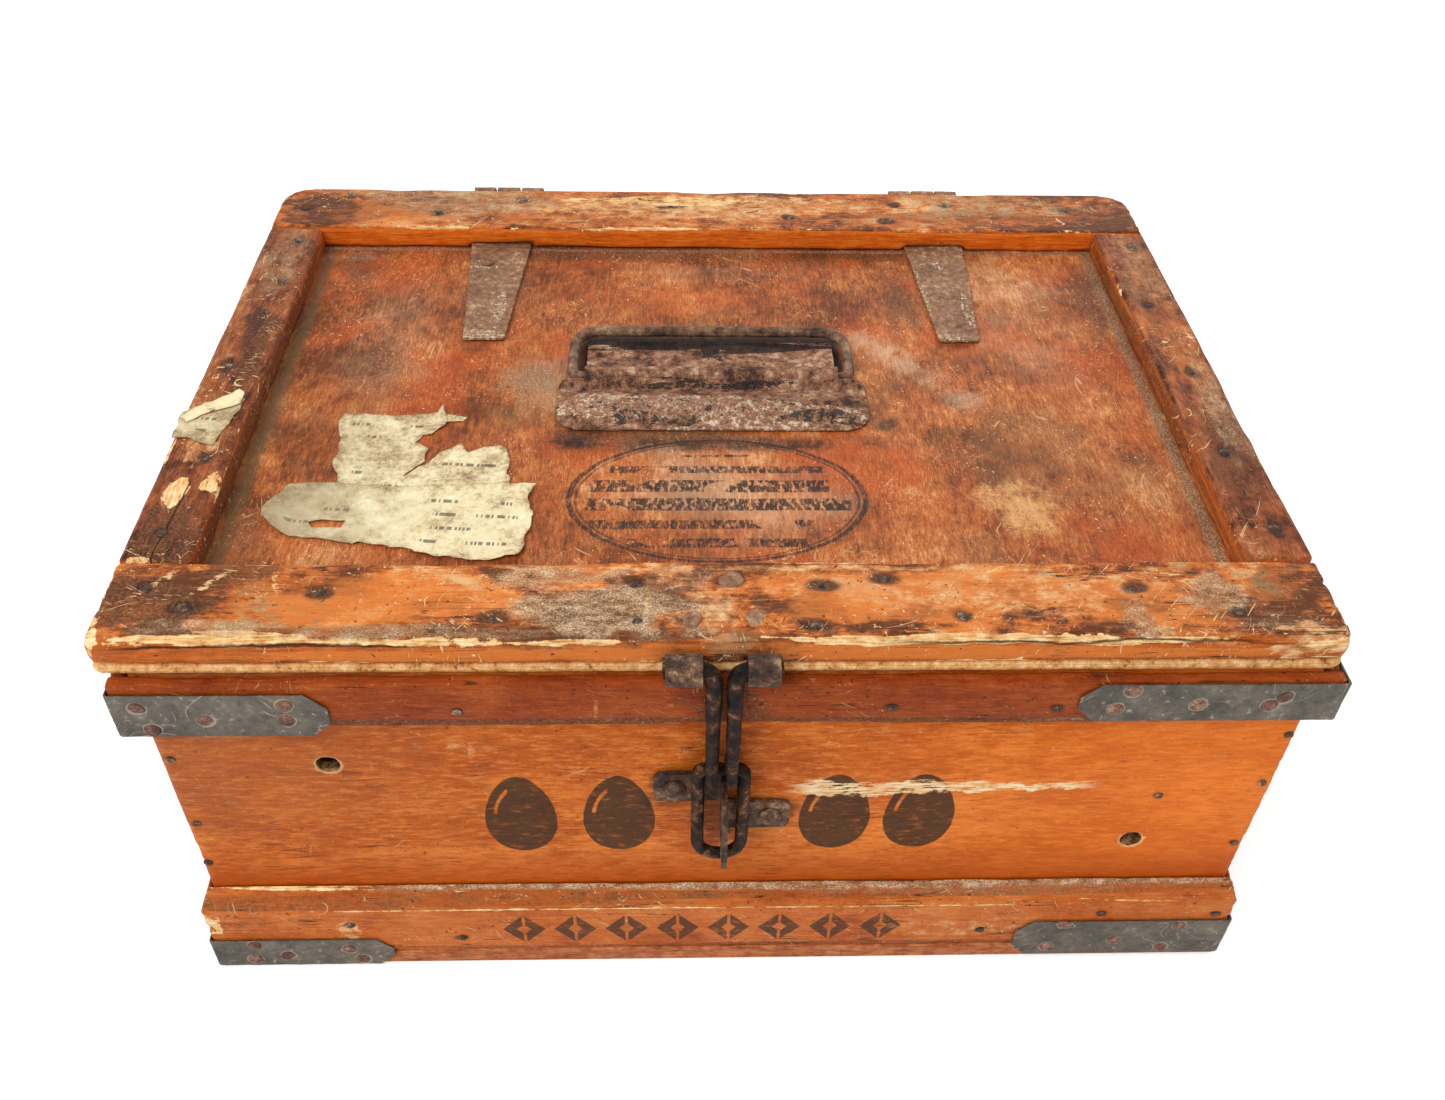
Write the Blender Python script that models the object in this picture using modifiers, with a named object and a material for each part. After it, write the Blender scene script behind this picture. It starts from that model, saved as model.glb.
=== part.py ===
"""A wooden egg crate with a hinged, framed lid, a lifting handle and a rod hasp.

Five boards are nailed into an open box. Battens run round its top and its foot, and bent
iron plates tie the corners. The lid is a plywood panel with four rails nailed on top. Two
strap hinges pass under the back rail, and two rolled straps under the front rail carry
the hasp, whose link hangs round a staple on the front board. A layer of half-lapped
dividers keeps the eggs apart on a strawboard pad.

Lengths are real sizes in metres. X runs along the front, +Y points to the hinges and +Z
up. The origin is the middle of the underside.
"""

import math

import bmesh
import bpy
from mathutils import Matrix, Vector

# Clearances
gap = 0.0003  # between pieces that touch
overrun = 0.003  # how far a cutter passes the wall it cuts
plane_tolerance = 0.00001  # how near a corner lies to the plane it is looked for on

# Body boards
crate_width = 0.466  # over the battens
crate_depth = 0.356  # over the battens
wall_top = 0.1922  # height of the rim
floor_thickness = 0.0095
side_thickness = 0.0095  # front and back boards
end_thickness = 0.012
board_edge_wear = 0.0008

# Battens
batten_thickness = 0.0057
top_batten_height = 0.0262
top_batten_bevel_height = 0.011
top_batten_bevel_depth = 0.002
foot_batten_height = 0.0457
foot_batten_slope = 0.0125
foot_batten_lip = 0.001
batten_edge_wear = 0.0004

# Corner plates
plate_thickness = 0.0012
plate_height_top_left = 0.0235
plate_height_top_right = 0.0212
plate_height_foot_left = 0.0205
plate_height_foot_right = 0.027
plate_leg_top_left = 0.0815  # along the front or back
plate_leg_top_right = 0.1035
plate_leg_foot_left = 0.083
plate_leg_foot_right = 0.1005
plate_leg_top_back = 0.0815  # ends short of the hinge leaves
plate_side_leg = 0.062
plate_bend_radius = 0.0017
plate_clip = 0.0075
top_plate_drop_left = 0.0042  # from the rim to the plates' upper edges
top_plate_drop_right = 0.0004
foot_plate_base_left = 0.001
foot_plate_base_right = 0.003

# Lid
lid_overhang = 0.002  # past the battens at each side
lid_shift = -0.003  # the lid sits this far to one side
lid_front_setback = 0.005  # its front edge lies behind the front battens
lid_back_setback = 0.001
panel_thickness = 0.005
rail_thickness = 0.0122
front_rail_width = 0.0435
back_rail_width = 0.0435
side_rail_width = 0.028
back_corner_radius = 0.016
front_corner_radius_left = 0.0032
front_corner_radius_right = 0.004
rail_wear = 0.0026  # rounding of the front rail's upper edge
rail_edge_wear = 0.001

# Strap hinges
hinge_inset_left = 0.1165  # from the crate's sides to the hinges' middles
hinge_inset_right = 0.1145
hinge_sheet = 0.0022
hinge_pin_radius = 0.0025
hinge_pin_overhang = 0.001
hinge_knuckle = 0.013
hinge_knuckle_gap = 0.0005
strap_tip_width = 0.021
strap_length = 0.141
strap_tip_radius = 0.002
leaf_length = 0.034
leaf_corner_radius = 0.003
roll_turn = math.radians(292)

# Lifting handle
handle_shift = -0.0055
handle_y = 0.008  # its pivot, measured from the middle of the crate
handle_sheet = 0.0018
handle_front_half_width = 0.0725
handle_back_half_width = 0.060
handle_front_reach = 0.0385
handle_shoulder_reach = 0.0045
handle_back_reach = 0.033
handle_front_radius = 0.0125
handle_back_radius = 0.004
bead_rise = 0.0071
bead_half_width = 0.0085
pan_rise = 0.0055
pan_half_width = 0.0155
pan_centre_reach = 0.0225
pan_end_slope = 0.016
bail_radius = 0.003
bail_half_width = 0.0656
bail_length = 0.036
bail_turned_in = 0.025
bail_corner_radius = 0.012
bail_foot_radius = 0.005
bail_clearance = 0.0004

# Hasp
hasp_x = -0.0045
hasp_sheet = 0.0026
hasp_rod_radius = 0.00325
hasp_rod_clearance = 0.00065
hasp_knuckle_left = 0.0145
hasp_knuckle_right = 0.0128
hasp_knuckle_inset = 0.0078  # from the hasp's middle to each knuckle
hasp_strap_length = 0.034
hasp_reach = 0.0095  # from the lid's front edge to the knuckles' axis
hasp_arm_gap = 0.0014
hasp_bend_radius = 0.0055
hasp_rod_overhang = 0.0005
hasp_eye_drop = 0.0598  # from the knuckles' axis to the link's pivot
hasp_eye_wall = 0.0023
hasp_eye_end = math.radians(74)
link_wire_radius = 0.0026
link_clearance = 0.0004
link_width = 0.0236
link_length = 0.0566  # pivot to the middle of its lower wire
link_top_radius = 0.0032
link_wall_clearance = 0.0005

# Staple
staple_x = -0.003
staple_sheet = 0.0028
staple_drop = 0.010  # from the link's pivot to the staple's upper edge
staple_height = 0.0365
tongue_reach = 0.026
tongue_corner_radius = 0.006
ear_length_left = 0.0277
ear_length_right = 0.027
ear_sheet = 0.003
ear_split = 0.001
ear_corner_radius = 0.004
padlock_hole_radius = 0.0045
padlock_hole_inset = 0.0085
screw_head_radius = 0.005
screw_head_height = 0.0026
screw_shank_radius = 0.0019
screw_length = 0.0085
screw_inset = 0.0088  # from the ear's end

# Two rough holes bored through the front board
rope_hole_radius = 0.0045
rope_hole_left = (-0.1616, 0.1376)
rope_hole_right = (0.1761, 0.0829)

# Dividers and pad
pad_thickness = 0.003
pad_margin = 0.001
divider_thickness = 0.003
divider_height = 0.057
divider_margin = 0.0006
cells_across = 8
cells_deep = 6

# Facets
arc_steps = 6
ring_steps = 16
handle_steps_across = 18
handle_steps_deep = 36

# Places worked out from the sizes above
half_width = crate_width / 2
half_depth = crate_depth / 2
board_x = half_width - batten_thickness - gap
board_y = half_depth - batten_thickness - gap
wall_base = floor_thickness + gap
inner_x = board_x - end_thickness
inner_y = board_y - side_thickness
panel_base = wall_top + gap
panel_top = panel_base + panel_thickness
rail_base = panel_top + gap
rail_top = rail_base + rail_thickness
lid_left = lid_shift - half_width - lid_overhang
lid_right = lid_shift + half_width + lid_overhang
lid_front = -half_depth + lid_front_setback
lid_back = half_depth - lid_back_setback
hinge_left = -half_width + hinge_inset_left
hinge_right = half_width - hinge_inset_right
hinge_bore = hinge_pin_radius + gap
hinge_roll = hinge_bore + hinge_sheet
hinge_y = half_depth + gap + hinge_roll
hinge_z = panel_top + gap + hinge_roll
hinge_half_width = 1.5 * hinge_knuckle + hinge_knuckle_gap
handle_base = panel_top + gap
handle_z = panel_top + bail_clearance + bail_radius
hasp_bore = hasp_rod_radius + hasp_rod_clearance
hasp_roll = hasp_bore + hasp_sheet
hasp_y = lid_front - hasp_reach
hasp_z = panel_top + gap + hasp_roll
eye_radius = link_wire_radius + link_clearance + hasp_eye_wall
link_y = -(board_y + link_wall_clearance + eye_radius + hasp_eye_wall)
link_z = hasp_z - hasp_eye_drop
staple_top = link_z - staple_drop


for old in list(bpy.data.objects):
    bpy.data.objects.remove(old)
crate_parts = bpy.data.collections.new("egg_crate")
cutters = bpy.data.collections.new("cutters")
for collection in (crate_parts, cutters):
    bpy.context.scene.collection.children.link(collection)


# Shapes

def place_mesh(name, mesh, helper=False):
    """An object for a mesh, among the parts or, for a helper, among the cutters."""
    thing = bpy.data.objects.new(name, mesh)
    (cutters if helper else crate_parts).objects.link(thing)
    thing.hide_render = helper
    thing.display_type = "WIRE" if helper else "TEXTURED"
    return thing


def from_bmesh(name, shape, helper=False):
    mesh = bpy.data.meshes.new(name)
    shape.to_mesh(mesh)
    shape.free()
    return place_mesh(name, mesh, helper)


def block(name, low, high, helper=False):
    """A box between two corners."""
    low, high = Vector(low), Vector(high)
    shape = bmesh.new()
    bmesh.ops.create_cube(shape, size=1)
    bmesh.ops.scale(shape, vec=high - low, verts=shape.verts)
    bmesh.ops.translate(shape, vec=(low + high) / 2, verts=shape.verts)
    return from_bmesh(name, shape, helper)


def as_mesh(curve_object, helper=False):
    """The curve's mesh in world space, with its caps welded on and its faces turned outwards."""
    name = curve_object.name
    bpy.context.view_layer.update()
    graph = bpy.context.evaluated_depsgraph_get()
    mesh = bpy.data.meshes.new_from_object(curve_object.evaluated_get(graph))
    mesh.transform(curve_object.matrix_world)
    bpy.data.objects.remove(curve_object)
    mesh.name = name
    shape = bmesh.new()
    shape.from_mesh(mesh)
    bmesh.ops.remove_doubles(shape, verts=shape.verts, dist=plane_tolerance)
    bmesh.ops.recalc_face_normals(shape, faces=shape.faces)
    shape.to_mesh(mesh)
    shape.free()
    return place_mesh(name, mesh, helper)


def slab(name, outline, low, high, axes="xyz", helper=False):
    """A flat outline given thickness. axes names the world axes of the outline and of its thickness."""
    curve = bpy.data.curves.new(name, "CURVE")
    curve.dimensions = "2D"
    curve.fill_mode = "BOTH"
    curve.extrude = (high - low) / 2
    spline = curve.splines.new("POLY")
    spline.points.add(len(outline) - 1)
    for point, (u, v) in zip(spline.points, outline):
        point.co = (u, v, 0, 1)
    spline.use_cyclic_u = True
    sheet = bpy.data.objects.new(name, curve)
    crate_parts.objects.link(sheet)
    unit = {"x": Vector((1, 0, 0)), "y": Vector((0, 1, 0)), "z": Vector((0, 0, 1))}
    turned = Matrix([unit[axis] for axis in axes]).transposed().to_4x4()
    sheet.matrix_world = Matrix.Translation(unit[axes[2]] * (low + high) / 2) @ turned
    return as_mesh(sheet, helper)


def rounded(points, radii, closed=True, steps=arc_steps):
    """The points of a path with each corner turned into an arc of its radius."""
    points = [Vector(point) for point in points]
    count = len(points)
    path = []
    for i, (corner, radius) in enumerate(zip(points, radii)):
        if radius == 0 or not (closed or 0 < i < count - 1):
            path.append(corner)
            continue
        to_last = (points[i - 1] - corner).normalized()
        to_next = (points[(i + 1) % count] - corner).normalized()
        half_angle = to_last.angle(to_next) / 2
        centre = corner + (to_last + to_next).normalized() * radius / math.sin(half_angle)
        start = corner + to_last * radius / math.tan(half_angle) - centre
        end = corner + to_next * radius / math.tan(half_angle) - centre
        turn = start.angle(end)
        for step in range(steps + 1):
            share = step / steps
            arm = start * math.sin((1 - share) * turn) + end * math.sin(share * turn)
            path.append(centre + arm / math.sin(turn))
    return path


def rectangle(left, front, right, back):
    return [(left, front), (right, front), (right, back), (left, back)]


def wire(name, path, radii, closed=False):
    """A round rod along a path, with a radius for each point."""
    curve = bpy.data.curves.new(name, "CURVE")
    curve.dimensions = "3D"
    curve.bevel_depth = 1
    curve.bevel_resolution = 2
    curve.use_fill_caps = not closed
    spline = curve.splines.new("POLY")
    spline.points.add(len(path) - 1)
    for point, place, radius in zip(spline.points, path, radii):
        point.co = (*place, 1)
        point.radius = radius
    spline.use_cyclic_u = closed
    rod = bpy.data.objects.new(name, curve)
    crate_parts.objects.link(rod)
    return as_mesh(rod)


def cylinder(name, centre, axis, radius, length, helper=False, sides=ring_steps):
    shape = bmesh.new()
    bmesh.ops.create_cone(
        shape, cap_ends=True, segments=sides, radius1=radius, radius2=radius, depth=length
    )
    turn = Vector((0, 0, 1)).rotation_difference(Vector(axis)).to_matrix()
    bmesh.ops.rotate(shape, matrix=turn, verts=shape.verts)
    bmesh.ops.translate(shape, vec=centre, verts=shape.verts)
    return from_bmesh(name, shape, helper)


def rolled_outline(length, bore, sheet):
    """Side view of a sheet rolled into an eye round (0, 0). The flat lies along -u, below it."""
    roll = bore + sheet
    first = -math.pi / 2
    angles = [first + roll_turn * step / ring_steps for step in range(ring_steps + 1)]
    outer = [(roll * math.cos(a), roll * math.sin(a)) for a in angles]
    inner = [(bore * math.cos(a), bore * math.sin(a)) for a in reversed(angles)]
    return [(-length, -roll), *outer, *inner, (-length, -bore)]


# Finishing

def soften(thing, chosen, radius, segments=arc_steps):
    """Rounds, or with one segment clips, the edges whose middle and direction are chosen."""
    shape = bmesh.new()
    shape.from_mesh(thing.data)
    bmesh.ops.dissolve_limit(
        shape, angle_limit=math.radians(1), verts=shape.verts, edges=shape.edges
    )
    edges = []
    for edge in shape.edges:
        first, last = (vert.co for vert in edge.verts)
        if chosen((first + last) / 2, (last - first).normalized()):
            edges.append(edge)
    bmesh.ops.bevel(
        shape, geom=edges, offset=radius, segments=segments, profile=0.5, affect="EDGES",
        clamp_overlap=True,
    )
    shape.to_mesh(thing.data)
    shape.free()


def wear(thing, width, segments=1):
    """A small bevel on every sharp edge."""
    bevel = thing.modifiers.new("wear", "BEVEL")
    bevel.width = width
    bevel.segments = segments
    bevel.limit_method = "ANGLE"
    bevel.angle_limit = math.radians(40)


def combine(thing, other, operation):
    boolean = thing.modifiers.new(operation.lower(), "BOOLEAN")
    boolean.operation = operation
    boolean.object = other
    boolean.solver = "EXACT"


def paint(thing, colour, roughness, metallic=0.0):
    material = bpy.data.materials.new(thing.name)
    material.use_nodes = True
    shader = material.node_tree.nodes["Principled BSDF"]
    shader.inputs["Base Color"].default_value = (*colour, 1)
    shader.inputs["Roughness"].default_value = roughness
    shader.inputs["Metallic"].default_value = metallic
    thing.data.materials.clear()
    thing.data.materials.append(material)


orange_pine = (0.56, 0.19, 0.05)
brown_pine = (0.34, 0.10, 0.04)
red_ply = (0.38, 0.11, 0.04)
bare_pine = (0.62, 0.42, 0.22)
strawboard = (0.50, 0.42, 0.30)
galvanised = (0.15, 0.155, 0.15)
rusty_iron = (0.12, 0.07, 0.045)
black_iron = (0.045, 0.04, 0.038)


def finish_wood(thing, colour, worn=board_edge_wear):
    wear(thing, worn)
    paint(thing, colour, 0.6)


def finish_metal(thing, colour, roughness=0.6):
    thing.data.shade_smooth()
    thing.data.set_sharp_from_angle(angle=math.radians(35))
    paint(thing, colour, roughness, 0.6)


# Body

def make_boards():
    floor = block(
        "bottom_board", (-half_width, -half_depth, 0), (half_width, half_depth, floor_thickness)
    )
    finish_wood(floor, bare_pine)
    front = block(
        "front_board", (-board_x, -board_y, wall_base), (board_x, -inner_y, wall_top)
    )
    back = block("back_board", (-board_x, inner_y, wall_base), (board_x, board_y, wall_top))
    ends = [
        block(
            f"{side}_end_board",
            (min(sign * inner_x, sign * board_x), -inner_y + gap, wall_base),
            (max(sign * inner_x, sign * board_x), inner_y - gap, wall_top),
        )
        for side, sign in (("left", -1), ("right", 1))
    ]
    for board in (front, back, *ends):
        finish_wood(board, orange_pine)
    holes = [(*rope_hole_left, rope_hole_radius), (*rope_hole_right, rope_hole_radius)]
    holes += [(x, z, screw_shank_radius + gap) for x, z in screw_places().values()]
    for number, (x, z, radius) in enumerate(holes):
        centre = (x, -(board_y + inner_y) / 2, z)
        length = side_thickness + 2 * overrun
        hole = cylinder(f"board_hole_{number}", centre, (0, 1, 0), radius, length, helper=True)
        combine(front, hole, "DIFFERENCE")


def batten_outline(base, top, foot_slope):
    """Section of a batten: distance out from the boards, and height."""
    if foot_slope:
        return [
            (0, base), (batten_thickness, base), (batten_thickness, top - foot_batten_slope),
            (foot_batten_lip, top), (0, top),
        ]
    return [
        (0, base), (batten_thickness - top_batten_bevel_depth, base),
        (batten_thickness, base + top_batten_bevel_height), (batten_thickness, top), (0, top),
    ]


def bevelled_ends(batten, base, top):
    """Cuts a foot batten's ends back to the slope of the battens that it meets."""
    run = batten_thickness - foot_batten_lip
    steepness = foot_batten_slope / run
    low_x, high_x = half_width + overrun, half_width - run - overrun
    half_view = [
        (low_x, base - overrun),
        (low_x, top - foot_batten_slope - overrun * steepness),
        (high_x, top + overrun * steepness),
    ]
    outline = half_view + [(-x, z) for x, z in reversed(half_view)]
    reach = half_depth + overrun
    keep = slab(f"{batten.name}_view", outline, -reach, reach, "xzy", helper=True)
    combine(batten, keep, "INTERSECT")


def make_battens():
    rings = (
        ("top_batten", wall_top - top_batten_height, wall_top, False),
        ("foot_batten", wall_base, wall_base + foot_batten_height, True),
    )
    for ring, base, top, foot_slope in rings:
        section = batten_outline(base, top, foot_slope)
        for side, sign in (("front", -1), ("back", 1)):
            outline = [(sign * (board_y + gap + out), z) for out, z in section]
            batten = slab(f"{ring}_{side}", outline, -half_width, half_width, "yzx")
            if foot_slope:
                bevelled_ends(batten, base, top)
            finish_wood(batten, brown_pine, batten_edge_wear)
        for side, sign in (("left", -1), ("right", 1)):
            outline = [(sign * (board_x + gap + out), z) for out, z in section]
            batten = slab(f"{ring}_{side}", outline, -board_y, board_y, "xzy")
            finish_wood(batten, brown_pine, batten_edge_wear)


def corner_plate(name, side_x, side_y, base, height, front_leg):
    """A strip bent round one corner of the battens, its ends clipped."""
    outer_x = half_width + gap + plate_thickness
    outer_y = half_depth + gap + plate_thickness
    end_x = outer_x - front_leg
    end_y = outer_y - plate_side_leg
    corners = [
        (end_x, outer_y), (outer_x, outer_y), (outer_x, end_y),
        (outer_x - plate_thickness, end_y),
        (outer_x - plate_thickness, outer_y - plate_thickness),
        (end_x, outer_y - plate_thickness),
    ]
    bend = plate_bend_radius
    inner_bend = plate_bend_radius - plate_thickness
    path = rounded([(*corner, 0) for corner in corners], [0, bend, 0, 0, inner_bend, 0])
    outline = [(side_x * point.x, side_y * point.y) for point in path]
    plate = slab(name, outline, base, base + height)

    def at_an_end(middle, along):
        at_x = abs(abs(middle.x) - end_x) < plane_tolerance and abs(along.y) > 0.9
        at_y = abs(abs(middle.y) - end_y) < plane_tolerance and abs(along.x) > 0.9
        return at_x or at_y

    soften(plate, at_an_end, plate_clip, segments=1)
    finish_metal(plate, galvanised)


def make_corner_plates():
    plates = (
        ("top", "left", wall_top - top_plate_drop_left, plate_height_top_left, plate_leg_top_left),
        ("top", "right", wall_top - top_plate_drop_right, plate_height_top_right, plate_leg_top_right),
        ("foot", "left", foot_plate_base_left, plate_height_foot_left, plate_leg_foot_left),
        ("foot", "right", foot_plate_base_right, plate_height_foot_right, plate_leg_foot_right),
    )
    for level, hand, edge, height, leg in plates:
        base = edge - height if level == "top" else edge
        side_x = -1 if hand == "left" else 1
        back_leg = plate_leg_top_back if level == "top" else leg
        corner_plate(f"corner_plate_{level}_front_{hand}", side_x, -1, base, height, leg)
        corner_plate(f"corner_plate_{level}_back_{hand}", side_x, 1, base, height, back_leg)


# Lid

def make_lid():
    front_radii = [front_corner_radius_left, front_corner_radius_right]
    back_radii = [*front_radii, back_corner_radius, back_corner_radius]
    edge = rectangle(lid_left, lid_front, lid_right, lid_back)
    outline = [point.xy for point in rounded([(*xy, 0) for xy in edge], back_radii)]
    panel = slab("lid_panel", outline, panel_base, panel_top)
    finish_wood(panel, red_ply, batten_edge_wear)

    front_edge = rectangle(lid_left, lid_front, lid_right, lid_front + front_rail_width)
    outline = rounded([(*xy, 0) for xy in front_edge], [*front_radii, 0, 0])
    front = slab("lid_rail_front", [point.xy for point in outline], rail_base, rail_top)
    soften(
        front,
        lambda middle, along: abs(middle.z - rail_top) < plane_tolerance
        and middle.y < lid_front + max(front_radii),
        rail_wear,
        segments=3,
    )
    back_edge = rectangle(lid_left, lid_back - back_rail_width, lid_right, lid_back)
    outline = rounded([(*xy, 0) for xy in back_edge], [0, 0] + [back_corner_radius] * 2)
    back = slab("lid_rail_back", [point.xy for point in outline], rail_base, rail_top)
    sides = [
        block(
            f"lid_rail_{side}",
            (left, lid_front + front_rail_width + gap, rail_base),
            (left + side_rail_width, lid_back - back_rail_width - gap, rail_top),
        )
        for side, left in (("left", lid_left), ("right", lid_right - side_rail_width))
    ]
    for rail in (front, back, *sides):
        finish_wood(rail, brown_pine, rail_edge_wear)

    for side, x in (("left", hinge_left), ("right", hinge_right)):
        outline = strap_outline(x, 2 * gap)
        name = f"back_rail_groove_{side}"
        groove_top = rail_base + hinge_sheet + gap
        groove = slab(name, outline, rail_base - overrun, groove_top, helper=True)
        combine(back, groove, "DIFFERENCE")
    for side, sign, knuckle in (("left", -1, hasp_knuckle_left), ("right", 1, hasp_knuckle_right)):
        x = hasp_x + sign * (hasp_knuckle_inset + knuckle / 2)
        half = knuckle / 2 + 2 * gap
        groove = block(
            f"front_rail_groove_{side}",
            (x - half, lid_front - overrun, rail_base - overrun),
            (x + half, hasp_y + hasp_strap_length + 2 * gap, rail_base + hasp_sheet + gap),
            helper=True,
        )
        combine(front, groove, "DIFFERENCE")


# Hinges

def strap_outline(x, grow=0.0):
    """Plan of a hinge strap, from its rolled end to its narrow tip."""
    back = hinge_y + hinge_roll + overrun
    tip = hinge_y - strap_length - grow
    wide = hinge_half_width + grow
    narrow = strap_tip_width / 2 + grow
    corners = [(x - wide, back), (x - narrow, tip), (x + narrow, tip), (x + wide, back)]
    radii = [0, strap_tip_radius, strap_tip_radius, 0]
    return [point.xy for point in rounded([(*xy, 0) for xy in corners], radii)]


def make_hinge(side, x):
    """Lid strap with two knuckles, box leaf with the one between them, and the pin."""
    middle = hinge_knuckle / 2
    beside = middle + hinge_knuckle_gap
    clear = hinge_roll + hinge_knuckle_gap

    side_view = rolled_outline(strap_length, hinge_bore, hinge_sheet)
    outline = [(hinge_y + u, hinge_z + v) for u, v in side_view]
    low, high = x - hinge_half_width, x + hinge_half_width
    strap = slab(f"hinge_strap_{side}", outline, low, high, "yzx")
    above, below = hinge_z + hinge_roll + overrun, panel_top - overrun
    plan = slab(f"strap_plan_{side}", strap_outline(x), below, above, helper=True)
    notch = block(
        f"strap_notch_{side}",
        (x - beside, hinge_y - clear, below),
        (x + beside, hinge_y + clear + overrun, above),
        helper=True,
    )
    combine(strap, plan, "INTERSECT")
    combine(strap, notch, "DIFFERENCE")
    finish_metal(strap, rusty_iron)

    side_view = rolled_outline(leaf_length, hinge_bore, hinge_sheet)
    outline = [(hinge_z + u, hinge_y + v) for u, v in side_view]
    leaf = slab(f"hinge_leaf_{side}", outline, low, high, "zyx")
    soften(
        leaf,
        lambda centre, along: centre.z < hinge_z - leaf_length + plane_tolerance
        and abs(along.y) > 0.9,
        leaf_corner_radius,
    )
    for hand, start, end in (("a", low - overrun, x - middle), ("b", x + middle, high + overrun)):
        relief = block(
            f"leaf_relief_{side}_{hand}",
            (start, hinge_y - hinge_roll - overrun, hinge_z - clear),
            (end, hinge_y + hinge_roll + overrun, above),
            helper=True,
        )
        combine(leaf, relief, "DIFFERENCE")
    finish_metal(leaf, rusty_iron)

    length = 2 * (hinge_half_width + hinge_pin_overhang)
    pin = cylinder(
        f"hinge_pin_{side}", (x, hinge_y, hinge_z), (1, 0, 0), hinge_pin_radius, length
    )
    finish_metal(pin, rusty_iron)


# Lifting handle

def swell(distance, half_width):
    """A smooth hump, 1 in the middle and 0 from half_width outwards."""
    share = min(abs(distance) / half_width, 1)
    return math.cos(share * math.pi / 2) ** 2


def make_handle_plate():
    """A sheet pressed into a bead over the bail's feet and a low pan in front of it."""
    half = handle_front_half_width
    depth = handle_front_reach + handle_back_reach
    shape = bmesh.new()
    bmesh.ops.create_grid(
        shape, x_segments=handle_steps_across, y_segments=handle_steps_deep, size=1
    )
    middle_y = (handle_back_reach - handle_front_reach) / 2
    for vert in shape.verts:
        x = vert.co.x * (half + overrun)
        y = middle_y + vert.co.y * (depth / 2 + overrun)
        ends = swell(max(abs(x) - (half - pan_end_slope), 0), pan_end_slope)
        pan = pan_rise * swell(y + pan_centre_reach, pan_half_width) * ends
        bead = bead_rise * swell(y, bead_half_width)
        vert.co = (handle_shift + x, handle_y + y, handle_base + pan + bead)
    plate = from_bmesh("handle_plate", shape)
    thicken = plate.modifiers.new("sheet", "SOLIDIFY")
    thicken.thickness = handle_sheet
    thicken.offset = 1
    thicken.use_even_offset = True
    front, back = -handle_front_reach, handle_back_reach
    shoulder, narrow = -handle_shoulder_reach, handle_back_half_width
    corners = [
        (-half, front), (half, front), (half, shoulder), (narrow, shoulder),
        (narrow, back), (-narrow, back), (-narrow, shoulder), (-half, shoulder),
    ]
    wide, tight = handle_front_radius, handle_back_radius
    radii = [wide, wide, tight, 0, tight, tight, 0, tight]
    path = rounded([(*xy, 0) for xy in corners], radii)
    outline = [(handle_shift + point.x, handle_y + point.y) for point in path]
    top = handle_base + bead_rise + handle_sheet + overrun
    plan = slab("handle_plan", outline, handle_base - overrun, top, helper=True)
    combine(plate, plan, "INTERSECT")
    finish_metal(plate, rusty_iron)


def make_bail():
    half, length = bail_half_width, bail_length
    bar_z = handle_base + handle_sheet + bail_clearance + bail_radius
    foot = half - bail_turned_in
    corners = [
        (-foot, 0, handle_z), (-half, 0, handle_z), (-half, length, bar_z),
        (half, length, bar_z), (half, 0, handle_z), (foot, 0, handle_z),
    ]
    corners = [(handle_shift + x, handle_y + y, z) for x, y, z in corners]
    foot_arc, corner = bail_foot_radius, bail_corner_radius
    path = rounded(corners, [0, foot_arc, corner, corner, foot_arc, 0], closed=False)
    bail = wire("handle_bail", path, [bail_radius] * len(path))
    finish_metal(bail, rusty_iron)


# Hasp

def make_hasp_strap(side, sign, knuckle):
    """A narrow strap under the front rail, rolled round the hasp's rod."""
    near = hasp_x + sign * hasp_knuckle_inset
    far = near + sign * knuckle
    side_view = rolled_outline(hasp_strap_length, hasp_bore, hasp_sheet)
    outline = [(hasp_y - u, hasp_z + v) for u, v in side_view]
    strap = slab(f"hasp_strap_{side}", outline, min(near, far), max(near, far), "yzx")
    finish_metal(strap, black_iron)


def make_hasp_rod(side, sign, knuckle):
    """A rod that turns down out of its knuckle, hangs to the link and ends in an eye round it."""
    far = hasp_x + sign * (hasp_knuckle_inset + knuckle + hasp_rod_overhang)
    arm = hasp_x + sign * (hasp_rod_radius + hasp_arm_gap / 2)
    eye_y = link_y - eye_radius
    corners = [(far, hasp_y, hasp_z), (arm, hasp_y, hasp_z), (arm, eye_y, link_z)]
    path = rounded(corners, [0, hasp_bend_radius, 0], closed=False)
    radii = [hasp_rod_radius] * (len(path) - 1) + [hasp_eye_wall]
    turn = math.pi + hasp_eye_end
    steps = 2 * arc_steps
    for step in range(1, steps + 1):
        angle = math.pi + turn * step / steps
        place = (link_y + eye_radius * math.cos(angle), link_z + eye_radius * math.sin(angle))
        path.append(Vector((arm, *place)))
        radii.append(hasp_eye_wall)
    rod = wire(f"hasp_rod_{side}", path, radii)
    finish_metal(rod, black_iron)


def make_link():
    half = link_width / 2 - link_wire_radius
    low = link_z - link_length
    corners = [
        (hasp_x - half, link_y, link_z), (hasp_x + half, link_y, link_z),
        (hasp_x + half, link_y, low), (hasp_x - half, link_y, low),
    ]
    bottom = half - plane_tolerance
    path = rounded(corners, [link_top_radius, link_top_radius, bottom, bottom])
    link = wire("hasp_link", path, [link_wire_radius] * len(path), closed=True)
    finish_metal(link, black_iron)


# Staple

def screw_places():
    """(x, z) of the screw in each ear."""
    ear_height = (staple_height - ear_split) / 2
    left = staple_x - staple_sheet / 2 - ear_length_left + screw_inset
    right = staple_x + staple_sheet / 2 + ear_length_right - screw_inset
    return {
        "left": (left, staple_top - ear_height / 2),
        "right": (right, staple_top - staple_height + ear_height / 2),
    }


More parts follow.
